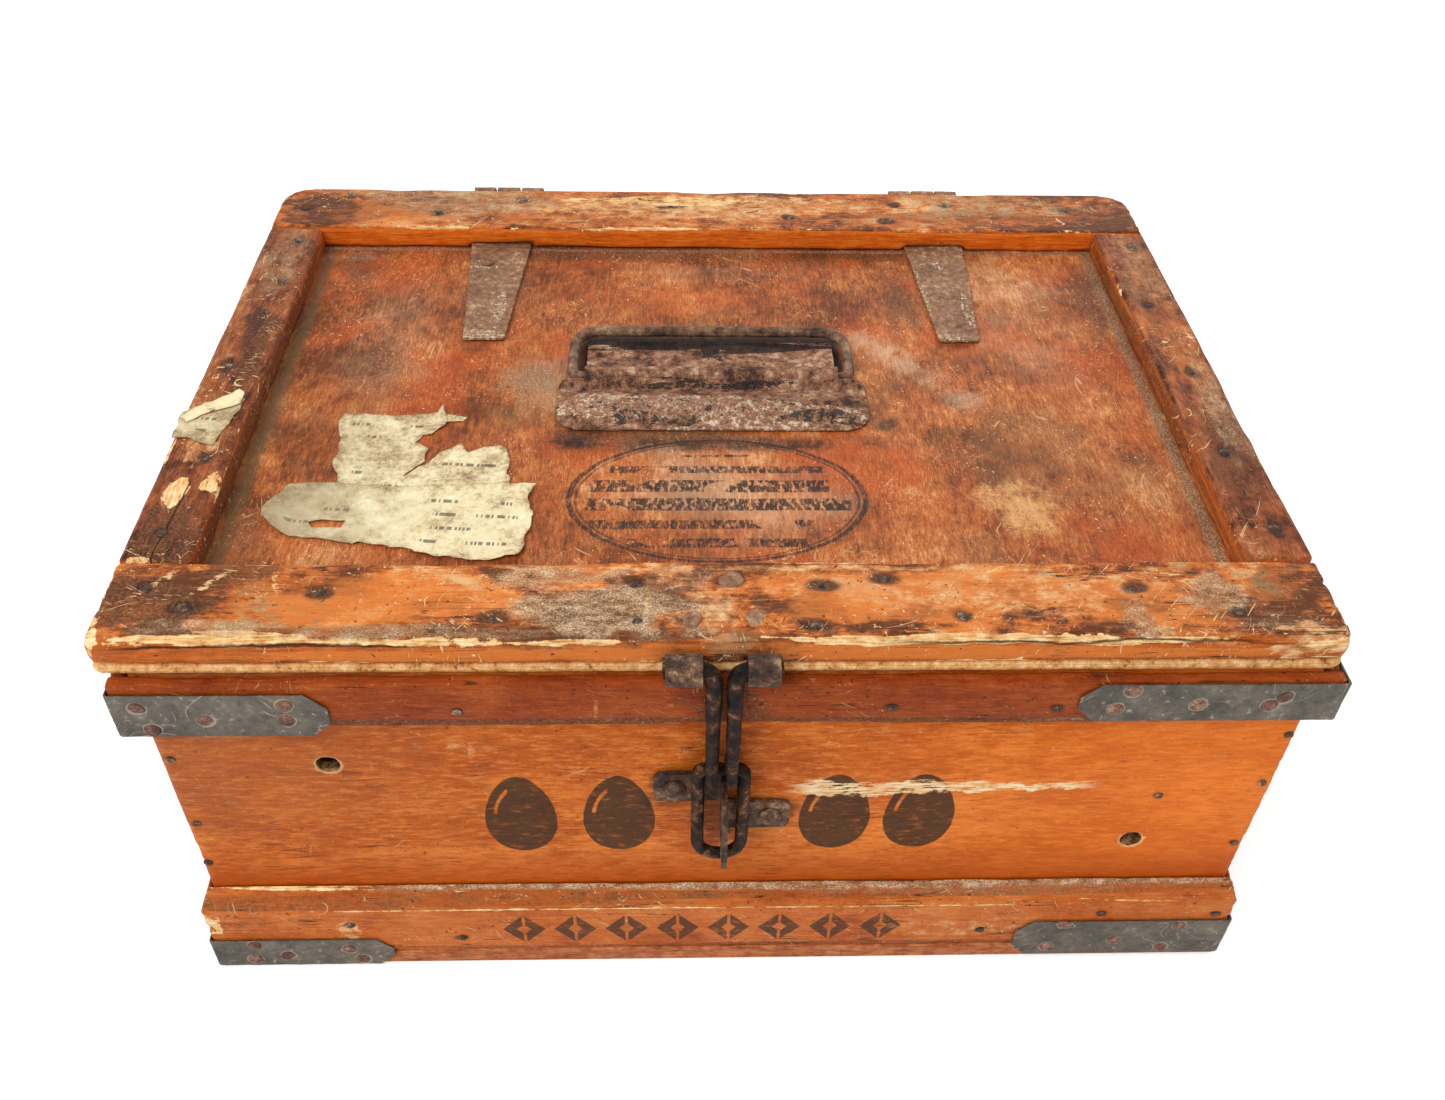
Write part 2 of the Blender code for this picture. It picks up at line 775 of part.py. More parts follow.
def make_staple():
    """A flat bar slit at its root: the halves bend apart as ears and the rest stands out."""
    face = -(board_y + gap)
    base = staple_top - staple_height
    low_x, high_x = staple_x - staple_sheet / 2, staple_x + staple_sheet / 2
    radii = [tongue_corner_radius, 0, 0, tongue_corner_radius]
    corners = rectangle(face - tongue_reach, base, face, staple_top)
    outline = [point.xy for point in rounded([(*xy, 0) for xy in corners], radii)]
    tongue = slab("hasp_staple", outline, low_x, high_x, "yzx")
    ear_height = (staple_height - ear_split) / 2
    ears = (
        ("left", low_x - ear_length_left, high_x, staple_top - ear_height, staple_top),
        ("right", low_x, high_x + ear_length_right, base, base + ear_height),
    )
    for side, left, right, low, high in ears:
        bend = ear_corner_radius
        radii = [bend, 0, 0, bend] if side == "left" else [0, bend, bend, 0]
        outline = rounded([(*xy, 0) for xy in rectangle(left, low, right, high)], radii)
        outline = [point.xy for point in outline]
        ear = slab(f"staple_ear_{side}", outline, face - ear_sheet, face, "xzy", helper=True)
        combine(tongue, ear, "UNION")
    hole_y = face - tongue_reach + padlock_hole_inset
    hole_z = staple_top - staple_height / 2
    holes = [("padlock", (staple_x, hole_y, hole_z), (1, 0, 0), padlock_hole_radius)]
    for side, (x, z) in screw_places().items():
        holes.append((side, (x, face, z), (0, 1, 0), screw_shank_radius + gap))
    for name, centre, axis, radius in holes:
        length = 2 * (ear_sheet + overrun)
        hole = cylinder(f"staple_hole_{name}", centre, axis, radius, length, helper=True)
        combine(tongue, hole, "DIFFERENCE")
    finish_metal(tongue, rusty_iron)


def make_staple_screw(side, x, z):
    """A domed head and its shank, turned about Z and laid along Y."""
    seat = -(board_y + gap + ear_sheet + gap)
    dome = [
        (screw_head_radius * math.sin(angle), screw_head_height * math.cos(angle))
        for angle in (math.pi / 2 * step / arc_steps for step in range(arc_steps + 1))
    ]
    profile = [*dome, (screw_shank_radius, 0), (screw_shank_radius, -screw_length), (0, -screw_length)]
    shape = bmesh.new()
    verts = [shape.verts.new((radius, 0, height)) for radius, height in profile]
    for first, last in zip(verts, verts[1:]):
        shape.edges.new((first, last))
    screw = from_bmesh(f"staple_screw_{side}", shape)
    turning = screw.modifiers.new("turned", "SCREW")
    turning.steps = ring_steps
    turning.render_steps = ring_steps
    turning.use_merge_vertices = True
    turning.merge_threshold = plane_tolerance
    screw.location = (x, seat, z)
    screw.rotation_euler = (math.pi / 2, 0, 0)
    finish_metal(screw, rusty_iron)


# Dividers and pad

def comb(length, height, count, start):
    """Outline of a divider lying from 0 to length, with slots from its upper edge to half its height."""
    slot = divider_thickness / 2 + gap
    depth = height / 2 + gap / 2
    outline = [(-length / 2, 0), (length / 2, 0), (length / 2, height)]
    for number in reversed(range(1, count)):
        x = -start + 2 * start * number / count
        outline += [
            (x + slot, height), (x + slot, height - depth),
            (x - slot, height - depth), (x - slot, height),
        ]
    return outline + [(-length / 2, height)]


def make_dividers():
    floor = wall_base + pad_thickness
    pad = block(
        "bottom_pad",
        (-inner_x + pad_margin, -inner_y + pad_margin, wall_base),
        (inner_x - pad_margin, inner_y - pad_margin, floor),
    )
    paint(pad, strawboard, 0.9)
    floor += gap
    length, depth = 2 * (inner_x - divider_margin), 2 * (inner_y - divider_margin)
    long_outline = comb(length, divider_height, cells_across, inner_x)
    cross_outline = comb(depth, divider_height, cells_deep, inner_y)
    for number in range(1, cells_deep):
        y = -inner_y + 2 * inner_y * number / cells_deep
        outline = [(x, floor + z) for x, z in long_outline]
        low, high = y - divider_thickness / 2, y + divider_thickness / 2
        paint(slab(f"long_divider_{number}", outline, low, high, "xzy"), strawboard, 0.9)
    for number in range(1, cells_across):
        x = -inner_x + 2 * inner_x * number / cells_across
        outline = [(y, floor + divider_height - z) for y, z in cross_outline]
        low, high = x - divider_thickness / 2, x + divider_thickness / 2
        paint(slab(f"cross_divider_{number}", outline, low, high, "yzx"), strawboard, 0.9)


# Joints: each moving piece hangs from an empty on its axis

def make_pivots():
    places = {
        "lid_pivot": ((lid_shift, hinge_y, hinge_z), None),
        "handle_pivot": ((handle_shift, handle_y, handle_z), "lid_pivot"),
        "hasp_pivot": ((hasp_x, hasp_y, hasp_z), "lid_pivot"),
        "link_pivot": ((hasp_x, link_y, link_z), "hasp_pivot"),
    }
    carried = {
        "lid_pivot": ("lid_", "hinge_strap_", "handle_plate", "hasp_strap_"),
        "handle_pivot": ("handle_bail",),
        "hasp_pivot": ("hasp_rod_",),
        "link_pivot": ("hasp_link",),
    }
    pivots = {}
    for name, (place, holder) in places.items():
        pivot = bpy.data.objects.new(name, None)
        pivot.location = place
        crate_parts.objects.link(pivot)
        bpy.context.view_layer.update()
        if holder:
            pivot.parent = pivots[holder]
            pivot.matrix_parent_inverse = pivots[holder].matrix_world.inverted()
        pivots[name] = pivot
    bpy.context.view_layer.update()
    for name, starts in carried.items():
        for thing in crate_parts.objects:
            if thing.type == "MESH" and thing.name.startswith(starts):
                thing.parent = pivots[name]
                thing.matrix_parent_inverse = pivots[name].matrix_world.inverted()


make_boards()
make_battens()
make_corner_plates()
make_lid()
make_hinge("left", hinge_left)
make_hinge("right", hinge_right)
make_handle_plate()
make_bail()
for hand, direction in (("left", -1), ("right", 1)):
    hasp_knuckle = hasp_knuckle_left if hand == "left" else hasp_knuckle_right
    make_hasp_strap(hand, direction, hasp_knuckle)
    make_hasp_rod(hand, direction, hasp_knuckle)
make_link()
make_staple()
for hand, (screw_x, screw_z) in screw_places().items():
    make_staple_screw(hand, screw_x, screw_z)
make_dividers()
make_pivots()
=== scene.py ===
# %% [markdown]
# An old egg crate: five boards nailed into a box, battens round its rim and its foot, bent
# iron plates at the corners, and a framed lid with strap hinges, a lifting handle and a
# rod hasp. The CAD model fixes every size and joint, and it comes in first as the frame.
# The script then adds what long use has done: worn arrises, rust, grime, torn paper and
# stencilled marks. Materials work in metres, in the same frame as the CAD. Places that are
# listed are in millimetres, which are easier to read.

import math

import bmesh
import bpy
import numpy as np
from mathutils import Matrix, Vector, geometry


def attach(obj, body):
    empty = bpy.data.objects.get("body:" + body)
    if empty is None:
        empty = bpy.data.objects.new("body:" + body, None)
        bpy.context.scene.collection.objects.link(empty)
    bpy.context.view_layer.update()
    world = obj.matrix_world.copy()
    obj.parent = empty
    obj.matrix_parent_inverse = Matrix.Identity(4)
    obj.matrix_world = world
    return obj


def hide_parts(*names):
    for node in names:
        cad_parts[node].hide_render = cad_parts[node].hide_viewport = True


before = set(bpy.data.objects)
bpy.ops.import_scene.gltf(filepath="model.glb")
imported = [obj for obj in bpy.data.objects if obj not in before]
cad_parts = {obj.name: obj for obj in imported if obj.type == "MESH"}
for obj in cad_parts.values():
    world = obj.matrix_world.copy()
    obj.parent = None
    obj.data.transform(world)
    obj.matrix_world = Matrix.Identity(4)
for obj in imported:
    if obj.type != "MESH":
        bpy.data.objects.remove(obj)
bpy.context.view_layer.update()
scene = bpy.context.scene

# %% [markdown]
# The camera stands where the photographer stood, above the front of the crate and looking
# down at it. Its place and its three turns were found by fitting the crate's own edges to
# the picture. An empty that the camera tracks would do as well, but three angles say
# exactly how far the view is pitched, turned and rolled.

# %% Camera
camera_place = Vector((-0.022735, -0.510105, 0.560735))
pitch, yaw, roll = (math.radians(angle) for angle in (42.175, 2.758, 1.807))
focal_length, film_width = 32.98, 36


def aim(place, pitch, yaw, roll):
    """The matrix of a camera that looks along +Y, turned right by yaw and down by pitch."""
    ahead = Vector((math.sin(yaw) * math.cos(pitch), math.cos(yaw) * math.cos(pitch), -math.sin(pitch)))
    level = Vector((math.cos(yaw), -math.sin(yaw), 0))
    upright = level.cross(ahead)
    right = level * math.cos(roll) + upright * math.sin(roll)
    top = upright * math.cos(roll) - level * math.sin(roll)
    turn = Matrix((right, top, -ahead)).transposed().to_4x4()
    return Matrix.Translation(place) @ turn


lens = bpy.data.cameras.new("Camera")
lens.sensor_fit = "HORIZONTAL"
lens.sensor_width, lens.lens = film_width, focal_length
lens.clip_start = 0.01
camera = bpy.data.objects.new("Camera", lens)
scene.collection.objects.link(camera)
camera.matrix_world = aim(camera_place, pitch, yaw, roll)
scene.camera = camera
print("camera at", [round(value, 3) for value in camera_place])

# %% [markdown]
# A node tree is easiest to read as a sum. This small class wraps a socket, so that an
# expression such as `1 - mask * 0.4` adds the Math nodes that work it out. Colours and
# vectors take Vector Math instead, because a Math node would turn a colour grey. One
# method adds any other node. The same class serves materials and Geometry Nodes.

# %% Sums on sockets


class Wire:
    """A socket that takes part in Python sums, each of which adds its node."""

    def __init__(self, tree, socket=None):
        self.tree, self.socket = tree, socket

    def node(self, kind, settings=(), inputs=(), out=0):
        """Adds any node: its settings first, then its sockets' values or wires."""
        made = self.tree.nodes.new(kind)
        for name, value in dict(settings).items():
            if name == "stops":
                set_stops(made.color_ramp, value)
            else:
                setattr(made, name, value)
        for key, value in dict(inputs).items():
            if isinstance(value, Wire):
                self.tree.links.new(value.socket, made.inputs[key])
            else:
                made.inputs[key].default_value = value
        return Wire(self.tree, made.outputs[out])

    def other(self, name):
        """Another output of the same node."""
        return Wire(self.tree, self.socket.node.outputs[name])

    def sum(self, operation, *values):
        """One Math node, or Vector Math where a vector or a colour takes part."""
        given = (self, *values)
        wide = any(
            isinstance(value, tuple)
            or (isinstance(value, Wire) and value.socket.type in ("VECTOR", "RGBA"))
            for value in given
        )
        if wide:
            given = [(value,) * 3 if isinstance(value, (int, float)) else value for value in given]
        kind = "ShaderNodeVectorMath" if wide else "ShaderNodeMath"
        return self.node(kind, {"operation": operation}, enumerate(given))

    def __add__(self, other):
        return self.sum("ADD", other)

    def __sub__(self, other):
        return self.sum("SUBTRACT", other)

    def __rsub__(self, other):
        return self * -1 + other

    def __mul__(self, other):
        return self.sum("MULTIPLY", other)

    def __truediv__(self, other):
        return self.sum("DIVIDE", other)

    def __lt__(self, other):
        return self.sum("LESS_THAN", other)

    def __gt__(self, other):
        return self.sum("GREATER_THAN", other)

    def __abs__(self):
        return self.sum("ABSOLUTE")

    __radd__, __rmul__ = __add__, __mul__

    def length(self):
        """The length of a vector."""
        return self.node("ShaderNodeVectorMath", {"operation": "LENGTH"}, {0: self}, "Value")

    def parts(self):
        """The three numbers of a vector."""
        split = self.node("ShaderNodeSeparateXYZ", (), {0: self})
        return split, split.other("Y"), split.other("Z")


def set_stops(ramp, stops):
    """Fills a colour ramp from pairs of position and colour."""
    while len(ramp.elements) < len(stops):
        ramp.elements.new(1.0)
    for element, (position, colour) in zip(ramp.elements, stops):
        element.position, element.color = position, colour


print("a wire has", len(dir(Wire)), "members")

# %% [markdown]
# A few shapes of sum come back in every finish: a soft step, the largest of several masks,
# a stripe round a value, noise of a given size, and one colour laid over another. Each is
# a function of wires here, so that a material reads as the order of its coats.

# %% Masks, noise and colours


def rgb(code):
    """A colour as picture programs write it, such as "c8642a", made linear for a node."""
    shares = [int(code[i : i + 2], 16) for i in (0, 2, 4)]
    linear = [
        share / 3294.6 if share <= 10.3 else ((share / 255 + 0.055) / 1.055) ** 2.4
        for share in shares
    ]
    return (*linear, 1.0)


def ramp(value, codes, low=0.37, high=0.63):
    """Colours spread evenly over the middle of a noise, where its values lie."""
    colours = [rgb(code) for code in codes.split()]
    gap = (high - low) / (len(colours) - 1)
    stops = [(low + gap * i, colour) for i, colour in enumerate(colours)]
    return value.node("ShaderNodeValToRGB", {"stops": stops}, {0: value}, "Color")


def mix(share, first, second):
    """The first colour where share is 0, and the second laid over it where it is 1."""
    below, above = (rgb(tone) if isinstance(tone, str) else tone for tone in (first, second))
    return share.node("ShaderNodeMix", {"data_type": "RGBA"}, {0: share, 6: below, 7: above}, 2)


def coats(colour, *layers):
    """Lays colours over each other. Each layer says how much of it and which colour."""
    for share, tone in layers:
        colour = mix(share, colour, tone)
    return colour


def step(value, low, high):
    """0 below low, 1 above high and a smooth climb between."""
    limits = {"Value": value, "From Min": low, "From Max": high}
    return value.node("ShaderNodeMapRange", {"interpolation_type": "SMOOTHSTEP"}, limits)


def stripe(value, centre, half, soft=0.0003):
    """1 where value is within half of centre."""
    return 1 - step(abs(value - centre), half - soft, half + soft)


def most(first, *others):
    """The largest of several masks."""
    for other in others:
        first = first.sum("MAXIMUM", other)
    return first


def joined(x, y=0.0):
    """A vector from one or two wires."""
    return x.node("ShaderNodeCombineXYZ", (), {0: x, 1: y})


def lumps(place, scale, detail=3.0, roughness=0.5, seed=0.0):
    """Noise from 0 to 1 with about scale lumps to the metre."""
    at = place + (seed, seed * 0.7, -seed * 0.4)
    inputs = {"Vector": at, "Scale": scale, "Detail": detail, "Roughness": roughness}
    return place.node("ShaderNodeTexNoise", (), inputs)


def new_material(name):
    """An empty material: itself, its shader and a wire to start from."""
    material = bpy.data.materials.new(name)
    material.use_nodes = True
    tree = material.node_tree
    return material, tree.nodes["Principled BSDF"], Wire(tree)


def stored(wire, name):
    """The numbers stored at the points of a piece: three, and a fourth as Alpha."""
    return wire.node("ShaderNodeAttribute", {"attribute_name": name}, out="Color")


def plug(value, shader, socket):
    """Links a wire to a socket of a shader, or sets the socket to a number."""
    if isinstance(value, Wire):
        value.tree.links.new(value.socket, shader.inputs[socket])
    else:
        shader.inputs[socket].default_value = value


def finish(shader, colour, rough, relief, strength, depth, shine):
    """Plugs a finish into its shader. relief is a height in units of depth, in metres."""
    height = {"Strength": strength, "Distance": depth, "Height": relief}
    plug(colour, shader, "Base Color")
    plug(rough, shader, "Roughness")
    plug(relief.node("ShaderNodeBump", (), height), shader, "Normal")
    plug(shine, shader, "Specular IOR Level")


print("mid grey", [round(share, 3) for share in rgb("808080")])

# %% [markdown]
# The floor is white and so is the world behind it. A photographer would flood a white
# table with light, but that would bleach the wood too. Here the floor glows a little for
# the camera and for reflections alone, which keeps its soft contact shadow, and the lamps
# stay at a level where a surface renders about as its colour is written.

# %% Floor, world and lamps
floor_drop, floor_glow, fill_light = 0.0003, 0.39, 0.65
floor_corners = [(-4, -3), (4, -3), (4, 6), (-4, 6)]
floor_mesh = bpy.data.meshes.new("floor")
floor_mesh.from_pydata([(x, y, -floor_drop) for x, y in floor_corners], [], [(0, 1, 2, 3)])
floor = bpy.data.objects.new("floor", floor_mesh)
scene.collection.objects.link(floor)
material, shader, start = new_material("white_table")
rays = start.node("ShaderNodeLightPath")
plug(rgb("f6f6f6"), shader, "Base Color")
plug(0.9, shader, "Roughness")
plug(0, shader, "Specular IOR Level")
plug(floor_glow, shader, "Emission Strength")
seen = most(rays, rays.other("Is Glossy Ray"))
plug(mix(seen, "000000", "ffffff"), shader, "Emission Color")
floor_mesh.materials.append(material)

world = bpy.data.worlds.new("studio")
world.use_nodes = True
scene.world = world
rays = Wire(world.node_tree).node("ShaderNodeLightPath")
seen = most(rays, rays.other("Is Glossy Ray"), rays.other("Is Transmission Ray"))
sky = mix(seen, (fill_light, fill_light, fill_light, 1), "ffffff")
plug(sky, world.node_tree.nodes["Background"], "Color")


def lamp(name, place, target, size, power):
    """A square soft lamp that faces a point."""
    light = bpy.data.lights.new(name, "AREA")
    light.shape, light.size, light.energy = "SQUARE", size, power
    made = bpy.data.objects.new(name, light)
    scene.collection.objects.link(made)
    turn = (Vector(place) - Vector(target)).to_track_quat("Z", "Y").to_matrix().to_4x4()
    made.matrix_world = Matrix.Translation(place) @ turn


lamp("key", (-0.7, -0.9, 1.5), (0, 0, 0.1), 0.9, 15)
lamp("back", (0.5, 1.3, 1.3), (0, 0, 0.15), 0.8, 7)
scene.view_settings.view_transform = "Standard"
print("floor", tuple(floor.dimensions), "and", len(bpy.data.lights), "lamps")

# %% [markdown]
# Wear follows rules: corners lose wood first, in bites that run with the grain. So each
# weathered piece is a copy of its CAD solid, cut into small squares by a voxel remesh, with
# its points then moved inwards by amounts worked out from smooth random numbers. NumPy
# does this for all the points at once. Sculpting by hand would look as good, but could
# not be run again.

# %% Random lumps


def cloud(points, size, seed=0):
    """Smooth random values from 0 to 1, in lumps of a size given along each axis."""
    place = points / np.asarray(size, float) + 37.0 + 11.3 * seed
    corner = np.floor(place).astype(np.int64)
    share = place - corner
    share = share * share * (3 - 2 * share)
    total = np.zeros(len(points))
    for shift in np.ndindex(2, 2, 2):
        x, y, z = (corner + shift).T
        mixed = (x * 73856093) ^ (y * 19349663) ^ (z * 83492791) ^ (seed * 7919)
        mixed = (mixed ^ (mixed >> 13)) * 1274126177 & 0x7FFFFFFF
        value = ((mixed ^ (mixed >> 16)) & 0xFFFF) / 65535
        total += np.abs(1 - np.array(shift) - share).prod(axis=1) * value
    return total


def layered(points, size, seed=0, layers=3):
    """Clouds of halving size laid over each other, from 0 to 1."""
    size, total = np.asarray(size, float), 0
    for layer in range(layers):
        total = total + cloud(points, size / 2**layer, seed + layer) / 2**layer
    return total / (2 - 0.5 ** (layers - 1))


def climb(values, low, high):
    """0 below low, 1 above high and a smooth climb between, for many numbers at once."""
    share = np.clip((values - low) / (high - low), 0, 1)
    return share * share * (3 - 2 * share)


sample = layered(np.arange(2997).reshape(-1, 3) / 999, 0.1)
print("clouds from", sample.min().round(2), "to", sample.max().round(2))

# %% [markdown]
# A CAD solid is loose triangles, so its corners are joined first. The copy is then cut
# into squares about a millimetre wide, which is fine enough for chips and dents, and
# coarse enough for a crate of sixty pieces. Whatever modifiers make is turned into a
# plain mesh at once, because the export takes only plain meshes.

# %% Fine copies
merge_reach = 1e-5


def joined_form(mesh):
    """A mesh opened for editing, with its loose triangles joined at their corners."""
    form = bmesh.new()
    form.from_mesh(mesh)
    bmesh.ops.remove_doubles(form, verts=form.verts, dist=merge_reach)
    return form


def made_plain(piece):
    """Turns what a piece's modifiers make into its own plain mesh."""
    graph = bpy.context.evaluated_depsgraph_get()
    plain = bpy.data.meshes.new_from_object(piece.evaluated_get(graph))
    piece.modifiers.clear()
    piece.data = plain
    return plain


def fine_copy(node, voxel):
    """A copy of a CAD solid made of small squares, as its own object."""
    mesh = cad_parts[node].data.copy()
    form = joined_form(mesh)
    form.to_mesh(mesh)
    form.free()
    piece = bpy.data.objects.new("worn_" + node, mesh)
    scene.collection.objects.link(piece)
    squares = piece.modifiers.new("Small squares", "REMESH")
    squares.mode, squares.voxel_size = "VOXEL", voxel
    squares.use_smooth_shade = True
    fine = made_plain(piece)
    fine.name = piece.name
    fine.materials.clear()
    return piece


def points_of(mesh):
    """The points of a mesh and the way each one faces."""
    points = np.empty(len(mesh.vertices) * 3, np.float32)
    facing = np.empty(len(mesh.vertices) * 3, np.float32)
    mesh.vertices.foreach_get("co", points)
    mesh.vertex_normals.foreach_get("vector", facing)
    return points.reshape(-1, 3).astype(float), facing.reshape(-1, 3).astype(float)


def move_points(mesh, points):
    mesh.vertices.foreach_set("co", points.astype(np.float32).ravel())
    mesh.update()


def paint_points(mesh, name, *channels):
    """Stores up to four numbers at each point, for a material to read."""
    layer = mesh.attributes.new(name, "FLOAT_COLOR", "POINT")
    spare = [np.ones(len(channels[0]))] * (4 - len(channels))
    values = np.stack([*channels, *spare], axis=1)
    layer.data.foreach_set("color", np.clip(values, 0, 1).astype(np.float32).ravel())


def dress(piece, node, body, look):
    """Gives a worn copy its finish, and puts it on its body in place of the CAD solid."""
    piece.data.materials.append(look)
    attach(piece, body)
    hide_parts(node)
    print(piece.name, len(piece.data.polygons), "squares")


print("corners within", merge_reach * 1e6, "thousandths of a millimetre are joined")

# %% [markdown]
# Stains are patches set where the real crate has them, and stored at the points of
# a piece. A table gives them, one to a row: what it is, its centre and how far it reaches
# along each axis, all in millimetres, and how strong it is. Most lie on one flat face, so
# a row may leave out the axis that the face looks along. Noise frays each patch's edge.

# %% Tables of stains
wood_stains = ("bare", "grime", "dust", "orange", "iron", "pale")
iron_stains = ("crust", "paint")
fray, patch_size = 0.7, 1.3


def stains_of(points, kinds, table, face, seed, soft=0.7):
    """One list of numbers for each kind of stain. face is the flat face that short rows
    lie on: its axis, its place on that axis, and how deep their patches go."""
    stains = [np.zeros(len(points)) for _ in kinds]
    for row in table.strip().splitlines():
        name, *numbers, amount = row.split()
        numbers = [float(number) for number in numbers]
        centre, reach = numbers[: len(numbers) // 2], numbers[len(numbers) // 2 :]
        if len(centre) == 2:
            centre.insert(face[0], face[1])
            reach.insert(face[0], face[2])
        kind = kinds.index(name)
        away = (points * 1000 - centre) / reach
        away = np.sqrt((away**2).sum(axis=1))
        ragged = layered(points, np.array(reach) / 1000 * 0.45, kind + seed) - 0.5
        patch = float(amount) * climb(patch_size - away + fray * ragged * 2, 0.0, soft)
        stains[kind] = np.maximum(stains[kind], patch)
    return stains


print("stains on wood:", *wood_stains)

# %% [markdown]
# Each worn wooden piece carries seven numbers at every point. `wear` says how bare, how
# grimy and how dusty the wood is there and how near to an arris, and `tint` how orange its
# varnish, how stained by iron, and how pale. The points are a millimetre or more apart, so
# the materials break these soft numbers up with finer noise.

# %% Worn wood
arris_reach = 0.008


def arris_distance(node, points, sharpest=0.45):
    """How far each point is from the nearest edge at which the CAD solid turns."""
    form = joined_form(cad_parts[node].data)
    lines = [
        [tuple(vert.co) for vert in edge.verts]
        for edge in form.edges
        if len(edge.link_faces) == 2 and edge.calc_face_angle() > sharpest
    ]
    form.free()
    nearest = np.full(len(points), 1.0)
    for first, last in np.array(lines):
        way = last - first
        share = np.clip((points - first) @ way / (way @ way), 0, 1)
        off = points - first - share[:, None] * way
        nearest = np.minimum(nearest, (off**2).sum(axis=1))
    return np.sqrt(nearest)


def worn_wood(
    node, along, look, slot, body="lid", voxel=0.0014, chip=0.0009, nails=(), table="", face=None, soft=0.7
):
    """A weathered copy of a board, with its corners chipped and its stains stored."""
    piece = fine_copy(node, voxel)
    points, facing = points_of(piece.data)
    seed = sum(map(ord, node)) % 97
    long = np.ones(3)
    long[along] = 6
    arris = arris_distance(node, points)
    bites = layered(points, 0.004 * long, seed)
    shallow = layered(points, 0.015 * long, seed + 5)
    reach = 0.0006 + 0.003 * climb(shallow, 0.4, 0.75)
    worn = climb(1.0 - arris / reach + (bites - 0.5) * 0.9, 0.05, 0.9)
    depth = chip * worn * (0.3 + climb(bites, 0.35, 0.8))
    depth = depth + 0.00012 * cloud(points, 0.0011 * long, seed + 9)
    stains = stains_of(points, wood_stains, table, face, seed, soft)
    halo = stains[wood_stains.index("iron")]
    ragged = (layered(points, 0.004, seed + 2) - 0.5) * 3.0
    # Iron stains run along the grain, some nails' further than others'
    for place, size in nails:
        spread = 2 + 2 * math.sin(place[0] * 7.3 + place[1] * 3.1 + place[2])
        offset = (points * 1000 - place) / (1 + 0.28 * (long > 1) * spread)
        near = np.sqrt((offset**2).sum(axis=1))
        np.maximum(halo, climb(size * 2.3 - near + ragged, 0, 5.0), out=halo)
        depth = depth + 0.0006 * climb(size + 1.2 - near, 0, 1.6)
    move_points(piece.data, points - facing * depth[:, None])
    paint_points(piece.data, "wear", *stains[:3], np.clip(1 - arris / arris_reach, 0, 1))
    paint_points(piece.data, "tint", *stains[3:])
    dress(piece, node, body, look)


print("wood counts as near an arris within", arris_reach * 1000, "mm")

# %% [markdown]
# The wood was brushed with an orange varnish that has darkened, picked up dirt and worn
# thin. All of that is one thing, how thick the film is, so one fractal noise with nine
# octaves stands for it, and a ramp of five colours turns it into dark dirt, brown, orange
# and pale bare wood. Rings, fibres, cracks, scratches and chips go on top, each gated so
# that it comes in clusters. A photograph would be quicker, but could not follow the wear.

# %% Old varnished pine
score_angles = {"X": (1.3, 0.3), "Y": (0.5, -0.8), "Z": (0.6, -0.9)}
dust_tones = "684c36 967558 b89877 d0b38f f6e0ba"
fresh_tones = "a46c3e e0a86a f8ce92 ffeabe"


def patchy(amount, noise, low=0.42, high=0.56):
    """A stored amount broken up by noise, and nothing where the amount is 0."""
    return step(amount * (noise * 2.4 - 0.2), low, high)


def scratches(place, across, angle, seed, fine=1100, long=105):
    """Short lines on faces that look along an axis: peaks of noise stretched one way."""
    sway = lumps(place, 16, 2, 0.5, seed + 30) - 0.5
    turning = {"Vector": place, "Angle": sway * 0.8 + angle}
    turned = place.node("ShaderNodeVectorRotate", {"rotation_type": f"{across}_AXIS"}, turning)
    drawn = [long, long, long]
    drawn[2 if across == "Y" else 1] = fine
    peaks = lumps(turned * tuple(drawn), 1.0, 1.0, 0.4, seed)
    return step(peaks, 0.7, 0.74)


